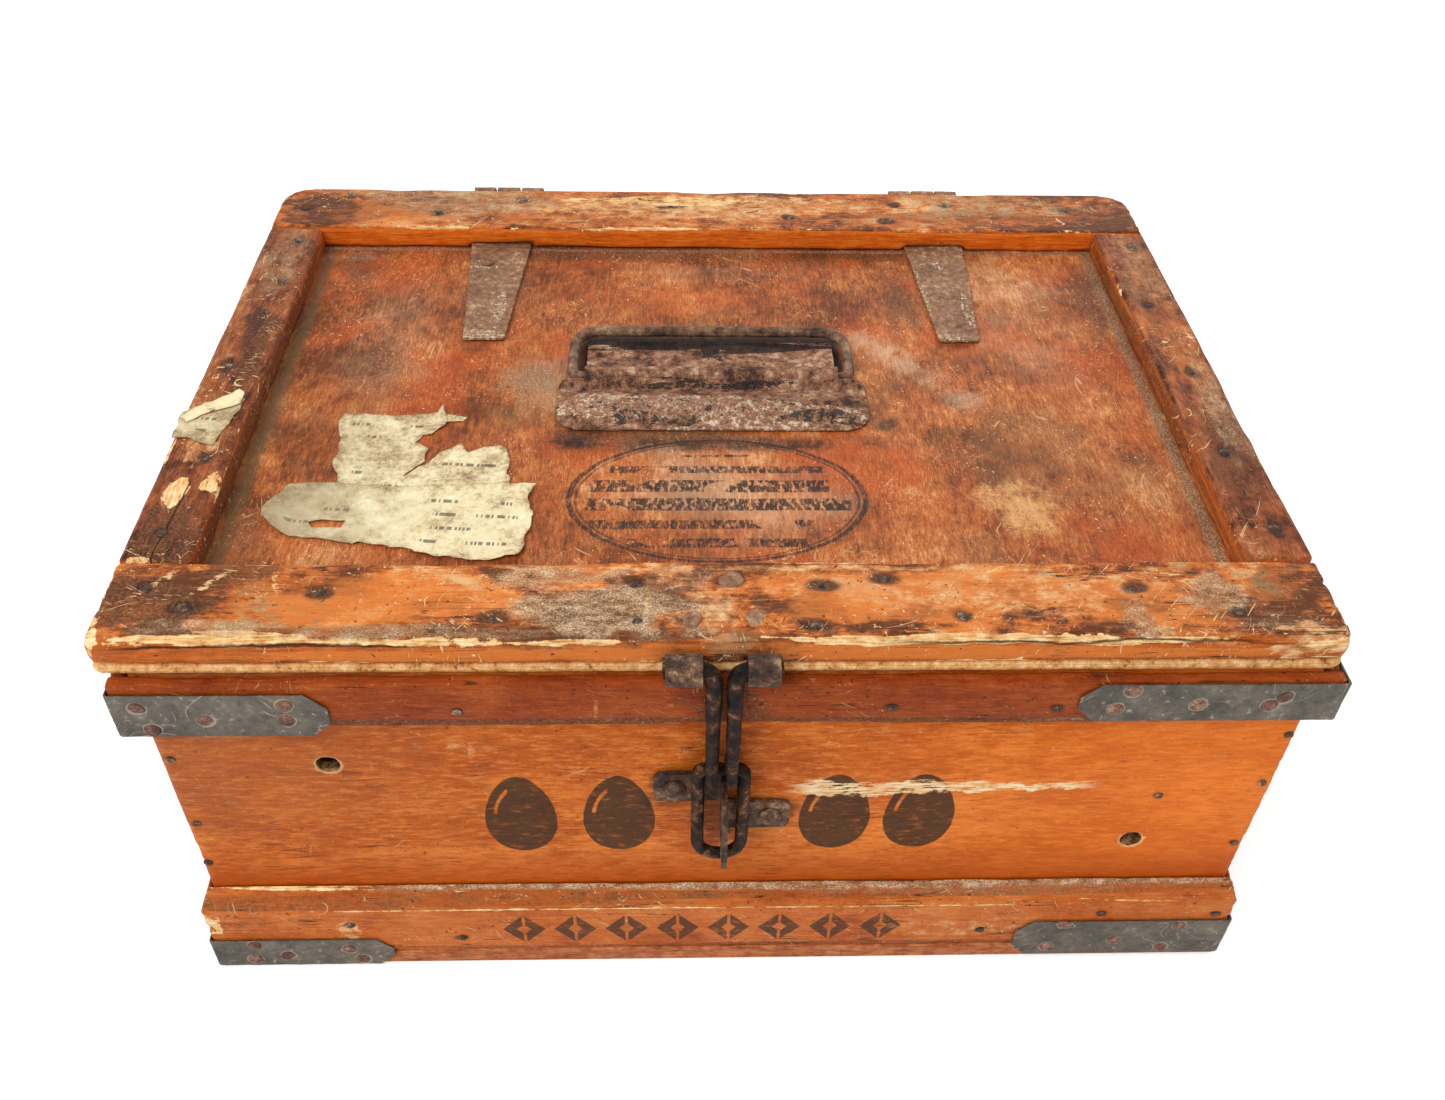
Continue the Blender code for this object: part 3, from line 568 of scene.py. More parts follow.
def old_wood(name, along, tones, face="Z", mottle=1.0, edge=0.7, knocks=1.0, crown=0.0, marks=None):
    """Varnished wood, grain along an axis. tones run from dirt to bare wood, and mottle
    spreads them. edge sets how wide arrises are bare, and knocks how marked the wood is.
    Above crown, a height in metres, it faces the sky and has weathered in full."""
    material, shader, start = new_material(name)
    place = start.node("ShaderNodeTexCoord", out="Object")
    wear = stored(start, "wear")
    bare_at, grime_at, dust_at = wear.parts()
    orange_at, iron_at, pale_at = stored(start, "tint").parts()
    from_arris = (1 - wear.other("Alpha")) * (arris_reach * 1000)
    dirt, brown, *_, bare_tone = tones.split()

    def grain(pull):
        """The place squeezed along the grain, so that noise comes out that much longer."""
        drawn = [1.0, 1.0, 1.0]
        drawn[along] = 1 / pull
        return place * tuple(drawn)

    film = lumps(grain(1.7), 44, 9, 0.7, 7)
    haze = lumps(place, 13, 3, 0.5, 3)
    ragged = lumps(grain(1.6), 250, 5, 0.7, 2)
    speck = lumps(place, 800, 4, 0.75, 5)
    fibre = lumps(grain(12), 1150, 3, 0.6)
    wave = lumps(grain(5), 62, 3, 0.55, 11)
    cluster = lumps(place, 34, 3, 0.5, 15)
    lint = lumps(place, 1300, 4, 0.75, 17)
    open_sky = step(place.parts()[2], crown - 0.002, crown - 0.0006)

    # The varnish: the film's depth, growth rings, fibres and dirt in its pores
    level = film + (ragged - 0.5) * 0.5 + (haze - 0.5) * 0.3
    level = level + orange_at * 0.016 - grime_at * 0.07
    pull = (open_sky * 0.7 + 0.3) * mottle
    rings = (wave * 7 + film * 1.5).sum("FRACT")
    rings = step(rings, 0.55, 0.9) * (1 - step(rings, 0.92, 1.0))
    soiled = step(ragged * 0.45 + speck * 0.55, 0.47, 0.56) * step(haze + film, 0.9, 1.06)
    colour = coats(
        ramp((level - 0.5) * pull + 0.495, tones),
        ((1 - open_sky) * 0.55, "c25c1a"),
        (rings * 0.22, brown),
        ((1 - step(fibre, 0.36, 0.47)) * (0.08 + 0.3 * knocks), dirt),
        (step(fibre, 0.56, 0.66) * 0.2, bare_tone),
        (soiled * (0.5 * knocks), dirt),
    )
    colour = colour * (speck * 0.9 + 0.55)

    # The stored stains, then cracks, scratches, chips and pits
    glowing = patchy(orange_at, ragged * 0.3 + film * 0.7, 0.3, 0.8)
    worn = patchy(pale_at, ragged * 0.6 + film * 0.4, 0.36, 0.7)
    dirty = patchy(grime_at, film * 0.6 + ragged * 0.4, 0.4, 0.66)
    stained = patchy(iron_at, ragged * 0.6 + film * 0.4, 0.16, 0.85)
    cracked = 1 - step(abs(lumps(grain(24), 190, 2, 0.5, 13) - 0.5), 0.003, 0.009)
    cracked = cracked * step(cluster, 0.54, 0.6)
    scored = most(*(scratches(place, face, *way) for way in zip(score_angles[face], (1, 6))))
    scored = scored * step(cluster + (film - 0.5) * 0.4, 0.47, 0.54)
    flecks = lumps(place, 640, 3, 0.6, 9) * 0.6 + lumps(grain(2.5), 300, 4, 0.75, 19) * 0.4
    chips = step(flecks, 0.6, 0.64) * step(haze + cluster, 0.92, 1.06)
    pits = step(lumps(place, 470, 2, 0.5, 21), 0.69, 0.72)
    lost = ((wave - 0.53) * 20 + (ragged - 0.5) * 8) * edge - from_arris
    lost = most(step(lost, 0.05, 0.3), patchy(bare_at, ragged, 0.42, 0.52))
    dusty = patchy(dust_at, film * 0.5 + ragged * 0.3 + lint * 0.2, 0.2, 0.85)
    colour = coats(
        colour,
        (glowing * 0.6, "e6843c"),
        (worn * 0.85, ramp(ragged, "b06e42 d89862 f0c48e")),
        (dirty * 0.75, ramp(speck, "46281a 68402a 8c6446")),
        (stained * 0.88, ramp(speck, "261a18 402a22 684836")),
        (cracked * 0.8, "341e14"),
        (scored * (0.85 * knocks), "f2c890"),
        (chips * (0.9 * knocks), "f6d6a4"),
        (pits * 0.75, "3a2016"),
        (lost, ramp(fibre * 0.5 + ragged * 0.5, fresh_tones)),
        (dusty * (0.5 + speck * 0.7), ramp(lint * 0.6 + ragged * 0.4, dust_tones, 0.42, 0.6)),
    )
    if marks:
        colour = marks(place, colour, ragged, fibre)
    relief = film + fibre * 0.3 + speck * 0.35 - cracked * 0.5 - scored * 0.25 - pits * 0.3
    relief = relief - lost * 0.25 + dusty * speck * 0.5
    rough = 0.36 + dirty * 0.12 + lost * 0.35 + dusty * 0.45 + worn * 0.15 + speck * 0.15
    finish(shader, colour, rough, relief, 0.75, 0.0011, 0.08)
    return material


print("scratches run at", score_angles, "radians")

# %% [markdown]
# Some marks have a place of their own on one rail: gouges and long splits in the front
# one, painted light that makes the back one's inner face a brighter orange, and a crack
# through a nail of the left one. They are too thin to be stored at the points, so the
# material works them out from the place, before it is finished.

# %% Marks of single rails and the rails' finishes
rail_top = 210
rail_tones = "64361e 98522a d06e2e e6883c f6c286"
side_tones = "4a2618 763e24 a2562e be7040 e2ac78"
# Each gouge: its centre in x and y, its turn, half its length and width, and its strength
gouges = (
    (-220.2, -142.3, 0.86, 10, 0.9, 0.9),
    (-199.3, -142.3, 0.86, 8, 0.9, 0.95),
    (-174.0, -142.0, -1.3, 5, 0.6, 0.9),
    (-112.0, -136.5, -0.44, 14, 1.8, 0.6),
    (-33.0, -152.0, -1.5, 5, 0.6, 0.9),
    (100.0, -136.0, 0.5, 8, 0.6, 0.9),
    (172.0, -138.0, -0.5, 8, 0.8, 0.9),
)


def front_splits(place, colour, ragged, fibre):
    """Gouges in the top of the front rail, and two long cracks below its worn arris."""
    x, y, z = place.parts()
    for centre_x, centre_y, turn, half, width, strength in gouges:
        off_x, off_y = x - centre_x / 1000, y - centre_y / 1000
        run = off_x * math.cos(turn) + off_y * math.sin(turn)
        aside = off_y * math.cos(turn) - off_x * math.sin(turn) + (ragged - 0.5) * 0.012
        torn = stripe(run, 0, half / 1000, 0.004) * stripe(aside, 0, width / 1000)
        torn = torn * step(ragged * 0.5 + fibre * 0.5, 0.47, 0.5)
        colour = mix(torn * strength, colour, "eec288")
    sway = (lumps(joined(x * 14), 1.0, 3, 0.6, 2) - 0.5) * 0.006 + (ragged - 0.5) * 0.0012
    left = stripe(z + sway, 0.2069, 0.0004) * stripe(x, -0.172, 0.055, 0.01)
    right = stripe(z + sway, 0.2076, 0.0003) * stripe(x, 0.13, 0.07, 0.02)
    gaps = most(left, right) * (y < -0.1705)
    return mix(gaps * 0.9, colour, "2e1a12")


def painted_light_inner_face(place, colour, ragged, fibre):
    """Painted light: the back rail's inner face is made a brighter orange, as if lit."""
    inner = place.parts()[1] < 0.1341
    painted_light_orange = ramp(ragged * 0.4 + fibre * 0.6, "c4540e e26c18 f08830")
    return mix(inner * 0.85, colour, painted_light_orange)


def side_split(place, colour, ragged, fibre):
    """A crack along the left rail, through a nail."""
    x, y, _ = place.parts()
    line = x - (y + 0.085) * 0.065 + (ragged - 0.5) * 0.002
    gap = stripe(line, -0.2226, 0.00035, 0.0002) * stripe(y, -0.106, 0.026, 0.002)
    return mix(gap * 0.9, colour, "22120c")


crown = rail_top / 1000
pine_front = old_wood("varnished_front_rail", 0, rail_tones, "Z", 1.25, crown=crown, marks=front_splits)
pine_back = old_wood("varnished_rail_x", 0, rail_tones, "Z", 1.15, crown=crown, marks=painted_light_inner_face)
pine_side = old_wood("varnished_rail_y", 1, side_tones, "Z", 0.8, 0.4, crown=crown, marks=side_split)
print("pine:", len(pine_back.node_tree.nodes), "nodes")

# %% [markdown]
# The four rails frame the lid. The front one took the knocks of a working life, so its
# front arris is worn to pale wood in a band, and its top shows grey dirt, orange varnish
# and black stains round the nails. The nail places are those of the real crate.

# %% Lid rails
on_rail = (2, rail_top, 9)
rail_nails = {
    "front": [
        (-222.6, -143.9), (-205.6, -154.7), (-157.1, -146.8), (-90.4, -160.4), (-38.2, -142.2),
        (-37, -162.1), (-1.7, -140.6), (34, -143.5), (30, -164.5), (58.4, -139.6),
        (85.5, -159.9), (155, -145), (192, -158),
    ],
    "back": [
        (-224, 154), (-201, 168), (-151, 150), (-107, 165), (-25, 160), (40, 148), (93, 144),
        (99, 163), (128, 163), (194, 158),
    ],
    "right": [(222, 118), (215, 60), (220, 1), (217, -60), (222, -110)],
    "left": [(-219, 77), (-228, 4), (-221, -65), (-225, -112), (-220, 118)],
}
rail_stains = {
    "front": """
        dust -51 -157 30 17 0.85
        dust -72 -138 30 7 0.6
        dust -20 -150 22 20 0.45
        dust 152 -160 7 14 0.6
        dust 186 -148 14 14 0.62
        dust 206 -164 18 5 0.5
        dust -200 -166 30 5 0.5
        dust -120 -168 60 4 0.5
        grime -130 -167 80 4 0.5
        grime -222 -150 26 18 0.75
        grime -190 -135 16 9 0.6
        grime 165 -150 50 16 0.24
        grime -60 -171 209 60 5 6 0.6
        grime -2 -172 206 34 7 9 0.5
        grime 215 -150 22 20 0.48
        grime -176 -150 40 20 0.42
        orange -150 -155 34 12 0.9
        orange -112 -150 40 14 1
        orange -60 -135 16 7 1
        orange 50 -152 56 18 0.9
        orange 100 -145 40 12 0.9
        orange 160 -154 40 14 0.75
        pale 26 -146 9 8 0.5
        pale 160 -148 44 14 0.42
        pale -70 -146 40 16 0.42
        pale 66 -148 40 14 0.46
        pale 112 -150 32 14 0.5
        pale -8 -158 10 14 0.6
        pale 20 -134 210 120 2 5 0.6
        bare -192 -171.2 209.6 34 3.6 2.6 1
        bare -140 -172.4 209.2 34 2 1.8 0.9
        bare -62 -172.8 208.9 30 1.6 1.6 0.8
        bare 66 -172 209.3 42 3.2 2.6 1
        bare 140 -172.3 209 48 2.2 2 0.85
        pale 219 -170 206 20 7 7 0.85
        bare 224 -173 206 14 4 4 0.7
        bare -236 -165 206 3 12 6 0.62
        pale -2 -172 207 11 4 5 0.8
        orange 0 -173 203 230 4 5 0.8
        grime 0 -173 199 26 3 4 0.9
    """,
    "back": """
        pale -20 160 110 16 0.75
        bare -30 166 210 60 6 4 0.6
        dust -140 160 210 70 18 3 0.55
        dust 150 162 210 60 14 3 0.5
        grime -180 155 210 60 20 4 0.5
        grime 130 150 210 70 12 4 0.5
        grime 205 150 210 25 18 4 0.5
        orange -170 150 40 16 0.7
    """,
    # The left rail's last row is painted shade: it darkens the rail's whole inner face.
    "left": """
        bare -227 -87 210 4.5 10 4 0.85
        bare -214 -83 210 4 7 4 0.8
        pale -225 -60 210 8 12 6 0.6
        grime -224 -120 14 24 0.65
        grime -218 20 8 34 0.65
        grime -226 75 8 24 0.5
        iron -224 42 210 5 14 5 0.8
        dust -223 100 12 34 0.45
        grime -210 0 203 3 140 7 1
    """,
    "right": """
        orange 218 40 14 60 0.5
        dust 224 -20 9 60 0.5
        dust 218 90 14 40 0.42
        grime 218 -60 14 40 0.55
        grime 214 60 9 30 0.5
        orange 204 0 203 3 140 7 0.7
        grime 204 20 203 3 140 7 0.6
    """,
}
for side, along, look, voxel, chip in (
    ("front", 0, pine_front, 0.0012, 0.0013),
    ("back", 0, pine_back, 0.0014, 0.0009),
    ("left", 1, pine_side, 0.0014, 0.0009),
    ("right", 1, pine_side, 0.0014, 0.0009),
):
    nails = [((x, y, rail_top), 2.6) for x, y in rail_nails[side]]
    rest = {"voxel": voxel, "chip": chip, "nails": nails, "table": rail_stains[side], "face": on_rail}
    worn_wood(f"lid_rail_{side}", along, look, "batten_pine", **rest)

# %% [markdown]
# An old stamp on the lid has faded to two ovals of dark lines, one inside the other, with
# bars between them. The lines are thin, so they are worked out in the material, as the
# distance to an oval, and not stored at the points. A picture of a stamp would be sharper
# near the camera, but would need a file of its own.

# %% Oval stamp
stamp_place = (-0.0047, -0.0765, 0.0)
# Each bar: how far it is above the stamp's middle, half its height and half its length
stamp_bars = (
    (0.0193, 0.0024, 0.047),
    (0.0080, 0.0040, 0.055),
    (-0.0042, 0.0040, 0.057),
    (-0.0172, 0.0028, 0.054),
    (-0.0288, 0.0028, 0.038),
    (0.0290, 0.0007, 0.015),
)


def oval_stamp(place, colour, ragged, fibre):
    """Two ovals with bars between them, in worn dark ink."""
    x, y, z = (place - stamp_place).parts()
    waver = (lumps(place, 60, 2, 0.5, 3) - 0.5) * 0.0012
    outer = joined(x * 0.633, y).length()
    rings = most(stripe(outer + waver, 0.0402, 0.0008), stripe(outer + waver, 0.0384, 0.0004) * 0.85)
    bars = most(
        *(stripe(y + waver, up, half) * stripe(x, 0.0, reach, 0.001) for up, half, reach in stamp_bars)
    )
    ticks = lumps(joined(x * 560, y * 260), 1.0, 1, 0.5)
    gaps = lumps(joined(x * 80, y * 75), 1.0, 0, 0.5, 4)
    bars = bars * step(ticks, 0.42, 0.46) * step(gaps, 0.3, 0.33)
    ink = most(rings, bars) * (z > 0.1965)
    kept = step(ragged + fibre, 0.92, 1.12) * 0.4
    return mix(ink * (0.95 - kept), colour, "342824")


print("stamp with", len(stamp_bars), "bars")

# %% [markdown]
# The lid's panel is plywood, so its grain has no rings: short fibres run from front to
# back, under cloudy varnish. Dust and painted shade lie along the rails' feet, rust, dirt
# and painted shadow lie round the handle, and the layers show at the edge. The underside
# never had any varnish.

# %% Plywood


def plywood(name):
    """Varnished plywood with the stamp on it, its layers at the edge, and a bare back."""
    material, shader, start = new_material(name)
    place = start.node("ShaderNodeTexCoord", out="Object")
    bare_at, grime_at, dust_at = stored(start, "wear").parts()
    orange_at, iron_at, pale_at = stored(start, "tint").parts()
    x, y, z = place.parts()
    film = lumps(place * (1, 0.8, 1), 30, 9, 0.7, 9)
    clouds = lumps(place, 10, 4, 0.6, 4)
    ragged = lumps(place * (1, 0.6, 1), 210, 5, 0.7, 4)
    speck = lumps(place, 800, 4, 0.75, 5)
    fibre = lumps(place * (1, 0.13, 1), 2000, 3, 0.6)
    streak = lumps(place * (1, 0.15, 1), 700, 4, 0.6, 2)
    cluster = lumps(place, 30, 3, 0.5, 15)
    warm = lumps(place, 17, 5, 0.62, 31)
    lint = lumps(place, 1300, 4, 0.75, 17)
    drift = (ragged - 0.5) * 0.004

    level = (film - 0.5) * 0.45 + (ragged - 0.5) * 0.35 + (clouds - 0.5) * 0.5
    level = level + (streak - 0.5) * 0.3 + orange_at * 0.02 - grime_at * 0.04 + 0.487
    level = level + step(x, -0.2, 0.16) * 0.024 - 0.012
    colour = coats(
        ramp(level, "68361c 8c4a26 ac5e30 c4743e dea06a"),
        (step(warm, 0.52, 0.64) * 0.5, "c05422"),
        ((1 - step(warm, 0.38, 0.48)) * 0.4, "8c623e"),
        (patchy(orange_at, ragged * 0.4 + film * 0.6, 0.2, 1.0) * 0.5, "c65a24"),
        ((1 - step(fibre, 0.36, 0.46)) * 0.45, "582c18"),
        (step(fibre + (film - 0.5) * 0.5, 0.56, 0.66) * 0.34, "e2a266"),
    )
    colour = colour * (speck * 1.3 + 0.38)

    # The stored stains, dust and painted shade at the rails' feet, and painted shadow under the bail and
    # the plate
    grimy = patchy(grime_at, film * 0.6 + ragged * 0.4, 0.15, 0.95)
    stained = patchy(iron_at, ragged * 0.5 + film * 0.5, 0.16, 0.85)
    worn = patchy(bare_at, ragged * 0.5 + film * 0.5, 0.3, 0.8)
    scored = most(scratches(place, "Z", 1.2, 1), scratches(place, "Z", 2.3, 6))
    scored = scored * step(cluster + (film - 0.5) * 0.4, 0.5, 0.58)
    cloudy = patchy(pale_at, film * 0.5 + streak * 0.5, 0.05, 1.2)
    chips = step(lumps(place, 640, 3, 0.6, 9), 0.655, 0.68) * step(cluster, 0.46, 0.54)
    # shade and foot are dark bands along the rails' feet: dust with painted shade.
    shade = stripe(x + drift, -0.2065, 0.0032, 0.0022)
    foot = most(stripe(x + drift, 0.2014, 0.0028, 0.0014), stripe(y + drift, 0.1322, 0.0012, 0.0008))
    dusty = most(patchy(dust_at, ragged * 0.6 + lint * 0.4, 0.3, 0.9), foot * (0.35 + film))
    # Painted shadow: black under the bail, and a ragged dark band under the plate's front edge.
    painted_shadow_under_bail = stripe(x + drift, -0.005, 0.064, 0.004) * stripe(y + drift, 0.030, 0.019, 0.005)
    painted_shadow_under_plate = stripe(x, -0.005, 0.076, 0.01) * stripe(y + drift * 1.6, -0.0385, 0.004, 0.005)
    painted_shadow_under_plate = painted_shadow_under_plate * step(film + ragged * 0.5, 0.68, 0.8)
    colour = coats(
        colour,
        (grimy * 0.75, ramp(speck, "462e22 624432 886850")),
        (stained * 0.85, ramp(speck, "2c1e1a 443026 745844")),
        (worn * 0.8, ramp(ragged * 0.5 + speck * 0.5, "b27848 e0a266 f6c484")),
        (scored * 0.7, "e8b07c"),
        (cloudy * 0.6, "dab490"),
        (chips * 0.85, "eec492"),
        (shade * 0.7, "68543a"),
        (dusty * 0.8, ramp(lint, "5c4634 846a52 a0866a d6be9c", 0.4, 0.62)),
        (most(painted_shadow_under_bail, painted_shadow_under_plate * 0.8), "140d0a"),
    )

    # The layers at the edge, and the bare underside
    edge_tones = "704626 ce8e54 e6ac6c f4c486 ffe4b2"
    layers = stripe((z * 1000 / 1.67).sum("FRACT"), 0.5, 0.06, 0.05)
    edge = mix(layers * 0.3, ramp(ragged * 0.6 + speck * 0.4, edge_tones, low=0.36), "825230")
    side = z + (speck - 0.5) * 0.0008 < 0.1973
    bare_tones = "a8784c bc8a5a ca9866 d4a472 e0b686"
    inner = ramp(streak * 0.8 + film * 0.2, bare_tones)
    inner = mix((1 - step(fibre, 0.36, 0.46)) * 0.3, inner, "8c5e38")
    colour = coats(oval_stamp(place, colour, ragged, fibre), (side, edge), (z < 0.1931, inner))
    rough = 0.38 + dusty * 0.4 + grimy * 0.1 + side * 0.4 + speck * 0.16
    relief = fibre * 0.35 + film * 0.6 + speck * (0.3 + side * 0.6) + side * ragged - scored * 0.2
    finish(shader, colour, rough, relief, 0.7, 0.0009, 0.1)
    return material


lid_plywood = plywood("lid_plywood")
print("plywood:", len(lid_plywood.node_tree.nodes), "nodes")

# %% [markdown]
# The panel's stains: it is paler round the handle, rust ran from the straps, and dirt
# gathered in the corners. The dark rows along the back rail, beside the straps and round
# the handle plate are dirt with painted shade.

# %% Lid panel
panel_stains = """
    bare 123 -84 24 33 1
    bare 150 107 20 6 0.6
    bare 92 122 3.4 2 1
    pale -80 10 197.5 22 30 6 0.55
    pale 68 46 197.5 11 13 6 0.9
    pale 78 36 197.5 11 13 6 1
    pale 88 25 197.5 11 13 6 0.95
    pale 98 14 197.5 11 13 6 0.8
    pale 112 -4 197.5 14 12 6 0.7
    pale 150 40 197.5 40 40 6 0.45
    pale -160 60 197.5 30 60 6 0.4
    pale 0 110 197.5 80 20 6 0.35
    pale 150 90 197.5 50 24 6 0.45
    dust 199 -10 7 140 0.5
    dust 150 128 60 5 0.5
    dust -60 -47 30 6 0.3
    grime -190 115 34 20 0.7
    grime -60 124 150 14 0.7
    grime 70 126 60 9 0.7
    grime -119 60 24 44 0.7
    dust -190 122 60 9 0.6
    dust -60 128 150 4 0.5
    dust -92 10 24 40 0.66
    dust -165 20 40 60 0.5
    pale -5 -76 197.5 64 36 6 0.5
    grime -200 -100 20 40 0.6
    grime -100 90 20 40 0.45
    grime -165 0 40 70 0.45
    grime 150 -20 30 30 0.4
    grime 195 80 14 50 0.7
    grime 190 -80 20 50 0.45
    grime 94 78 14 46 0.7
    grime 140 70 16 30 0.5
    grime 108 -4 9 9 0.7
    grime -6 12 68 40 0.5
    grime -5 -37 82 9 1
    iron -66 -36 18 8 0.85
    iron 76 -24 8 10 0.8
    grime -72 -20 8 22 0.8
    grime 68 -18 8 16 0.7
    iron -5 30 82 26 0.7
    pale -5 -76 197.5 70 40 6 0.75
    iron -119 36 11 8 0.7
    iron 118 40 12 5 0.6
    orange -20 85 90 30 0.7
    orange -130 20 50 50 0.6
    orange -150 -110 60 30 0.6
    orange 60 -70 80 50 0.65
    orange 160 20 30 60 0.6
"""
panel = {"voxel": 0.0019, "chip": 0.0002, "table": panel_stains, "face": (2, 197.5, 4), "soft": 1.3}
worn_wood("lid_panel", 1, lid_plywood, "plywood", **panel)

# %% [markdown]
# The front board is where the contents were stencilled. Four solid eggs with a crescent
# of light cut out of each stand there, and a row of small lozenges with a bridge down the
# middle, which a real stencil needs, runs along the foot batten. Ink from a stencil has
# sharp edges that waver a little, so each mark is the distance to a simple shape.

# %% Stencilled marks
egg_places = (-0.0875, -0.0465, 0.0445, 0.0805)
bores = ((-0.1616, 0.1376), (0.1761, 0.0829))
lozenge_pitch, lozenge_width, lozenge_height = 0.0232, 0.0098, 0.0115


def away_from(first, second):
    """The distance that two offsets at right angles add up to."""
    return (first * first + second * second).sum("SQRT")


def stencilled_eggs(place, x, z):
    """The ink of four eggs, each a circle that is drawn out and narrower at its top."""
    waver = (lumps(place, 150, 3, 0.6, 3) - 0.5) * 0.05
    up = (z - 0.1045) / 0.0255
    eggs = []
    for centre in egg_places:
        out = (x - centre) / (0.0150 - up * 0.0026)
        reach = away_from(out, up) + waver
        glint = stripe(reach, 0.70, 0.05, 0.02) * (1 - step(out, -0.36, -0.3)) * step(up, 0.0, 0.06)
        eggs.append((1 - step(reach, 0.98, 1.0)) * (1 - glint))
    return most(*eggs)


def egg_row(place, colour, ragged, fibre):
    """The front board's own glow and dashes, two bored holes with painted shade inside, the eggs and a
    long scrape.
    """
    x, y, z = place.parts()
    front = y < -0.1712
    glow = lumps(place * (0.5, 1, 1), 30, 9, 0.7, 33)
    dashes = lumps(place * (0.22, 1, 1), 620, 4, 0.7, 44)
    colour = coats(
        colour,
        (step(glow, 0.5, 0.62) * 0.5, "ec8a38"),
        ((1 - step(glow, 0.4, 0.5)) * 0.55, "a64818"),
        ((1 - step(dashes, 0.4, 0.48)) * 0.42, "8a3a0c"),
        (step(dashes, 0.54, 0.62) * 0.34, "f6a458"),
        (step(x, 0.0, 0.2) * 0.45, "fc7c12"),
        ((1 - step(z, 0.050, 0.092)) * 0.9, mix(dashes, "8c3200", "cc5800")),
        ((1 - step(x, -0.22, -0.05)) * step(z, 0.06, 0.13) * 0.35, "a6623a"),
    )
    # Painted shade: the walls inside the two holes are made dark.
    painted_hole_shade = ramp(ragged, "1e140e 4a3220 b08658")
    for bore_x, bore_z in bores:
        away = away_from(x - bore_x, z - bore_z) + (ragged - 0.5) * 0.003
        bored = 1 - step(away, 0.0053, 0.0061)
        colour = mix(bored * front * 0.6, colour, "e8bc82")
        colour = mix(bored * (1 - front) * 0.95, colour, painted_hole_shade)
    kept = step(ragged + fibre * 0.4, 0.72, 0.9) * 0.35
    colour = mix(stencilled_eggs(place, x, z) * front * (0.92 - kept), colour, "3a2a1a")
    line = joined(x * 38)
    sway = (lumps(line, 1.0, 3, 0.6, 5) - 0.5) * 0.008 + (ragged - 0.5) * 0.010
    half = 0.0044 - (x - 0.03) * 0.02 + (lumps(line, 2.0, 2, 0.6, 8) - 0.5) * 0.006
    reach = abs(z + sway - 0.1212) - half
    scrape = (1 - step(reach, -0.0008, 0.0006)) * stripe(x, 0.088, 0.06, 0.008)
    scrape = scrape * step(ragged + fibre * 0.8, 0.76, 0.88) * front
    return mix(scrape * 0.95, colour, ramp(fibre, "dea266 f6cc92 ffeec6"))


def lozenge_row(place, colour, ragged, fibre):
    """A row of stencilled lozenges along the foot batten."""
    x, y, z = place.parts()
    aside = abs(((x + 0.103) / lozenge_pitch).sum("FRACT") - 0.5)
    up = abs(z - 0.0268) / lozenge_height
    reach = aside * lozenge_pitch / lozenge_width + up + (lumps(place, 220, 3, 0.6, 3) - 0.5) * 0.12
    solid = (1 - step(reach, 0.97, 1.0)) * step(reach, 0.32, 0.36) * (aside > 0.03)
    kept = step(ragged + fibre * 0.4, 0.72, 0.9) * 0.4
    row = stripe(x, -0.0102, 0.0926, 0.0004) * (y < -0.1765)
    return mix(solid * row * (0.86 - kept), colour, "3e2c1e")


print(len(egg_places), "eggs, and lozenges every", lozenge_pitch * 1000, "mm")

# %% [markdown]
# The battens and boards of the box are the same pine under a thicker, cleaner varnish. It
# is redder on the battens and brighter on the front board, and each finish comes once for
# grain from left to right and once for grain from front to back.

# %% Finishes of the box
batten_tones = "5e240c 823412 9a4316 b05622 d28450"
board_tones = "96440e b85814 ce681c dc782a e89450"
foot_tones = "883c16 b05622 ce6e2e de823e eeaa70"
board_x = old_wood("varnished_board_front", 0, board_tones, "Y", 1.7, 0.15, 0.4, crown=0.3, marks=egg_row)
plain_x = old_wood("varnished_board_x", 0, board_tones, "Y", 0.45, 0.3, 0.5)
plain_y = old_wood("varnished_board_y", 1, board_tones, "X", 0.45, 0.3, 0.5)
batten_x = old_wood("varnished_batten_x", 0, batten_tones, "Y", 0.4, 0.02, 0.3)
batten_y = old_wood("varnished_batten_y", 1, batten_tones, "X", 0.45, 0.3, 0.5)
foot_x = old_wood("varnished_foot_x", 0, foot_tones, "Y", 0.45, 0.25, 0.6, marks=lozenge_row)
foot_y = old_wood("varnished_foot_y", 1, foot_tones, "X", 0.5, 0.4, 0.6)
print("box:", len(board_x.node_tree.nodes), "nodes for its front board")

# %% [markdown]
# Four boards make the box. The front one has iron stains round the staple, pale scratches
# where things were dragged along it, and soiled ends. The other three can't be seen, so
# they only have dirt where battens meet them.

# %% Boards
front_board_nails = [
    (-222.7, 142), (-222.3, 99.9), (-224.3, 72), (223.9, 153.4), (222.3, 122.4),
    (222.5, 80), (180.5, 114),
]
# The last two rows darken the walls inside the bored holes too: painted shade.
front_stains = """
    grime 0 164 225 4 0.42
    grime -215 120 16 40 0.45
    grime -214 62 30 10 0.45
    orange 0 66 230 22 0.8
    orange 90 110 140 40 0.7
    pale -125 149 3 5 0.5
    pale -112 150 4 3 0.5
    pale -104 145 3 5 0.5
    pale -205 118 4 8 0.45
    pale -180 120 3 2 0.5
    pale -140 106 50 5 0.38
    pale 206 140 12 3 0.42
    pale 198 128 3 14 0.42
    pale 178 98 6 5 0.42
    iron -26 121 12 11 0.6
    iron 18 107 14 10 0.6
    iron -4 104 11 24 0.6
    iron -4 156 14 8 0.5
    bare -161.6 137.6 6.2 4.6 0.8
    bare 176.1 82.9 6.4 5.2 0.8
    iron -161.6 -167 139.6 6 4 4 0.9
    iron 176.1 -167 84.9 6 4 4 0.9
"""
side_stains = """
    grime 0 0 60 240 190 10 0.5
    grime 0 0 164 240 190 5 0.6
"""
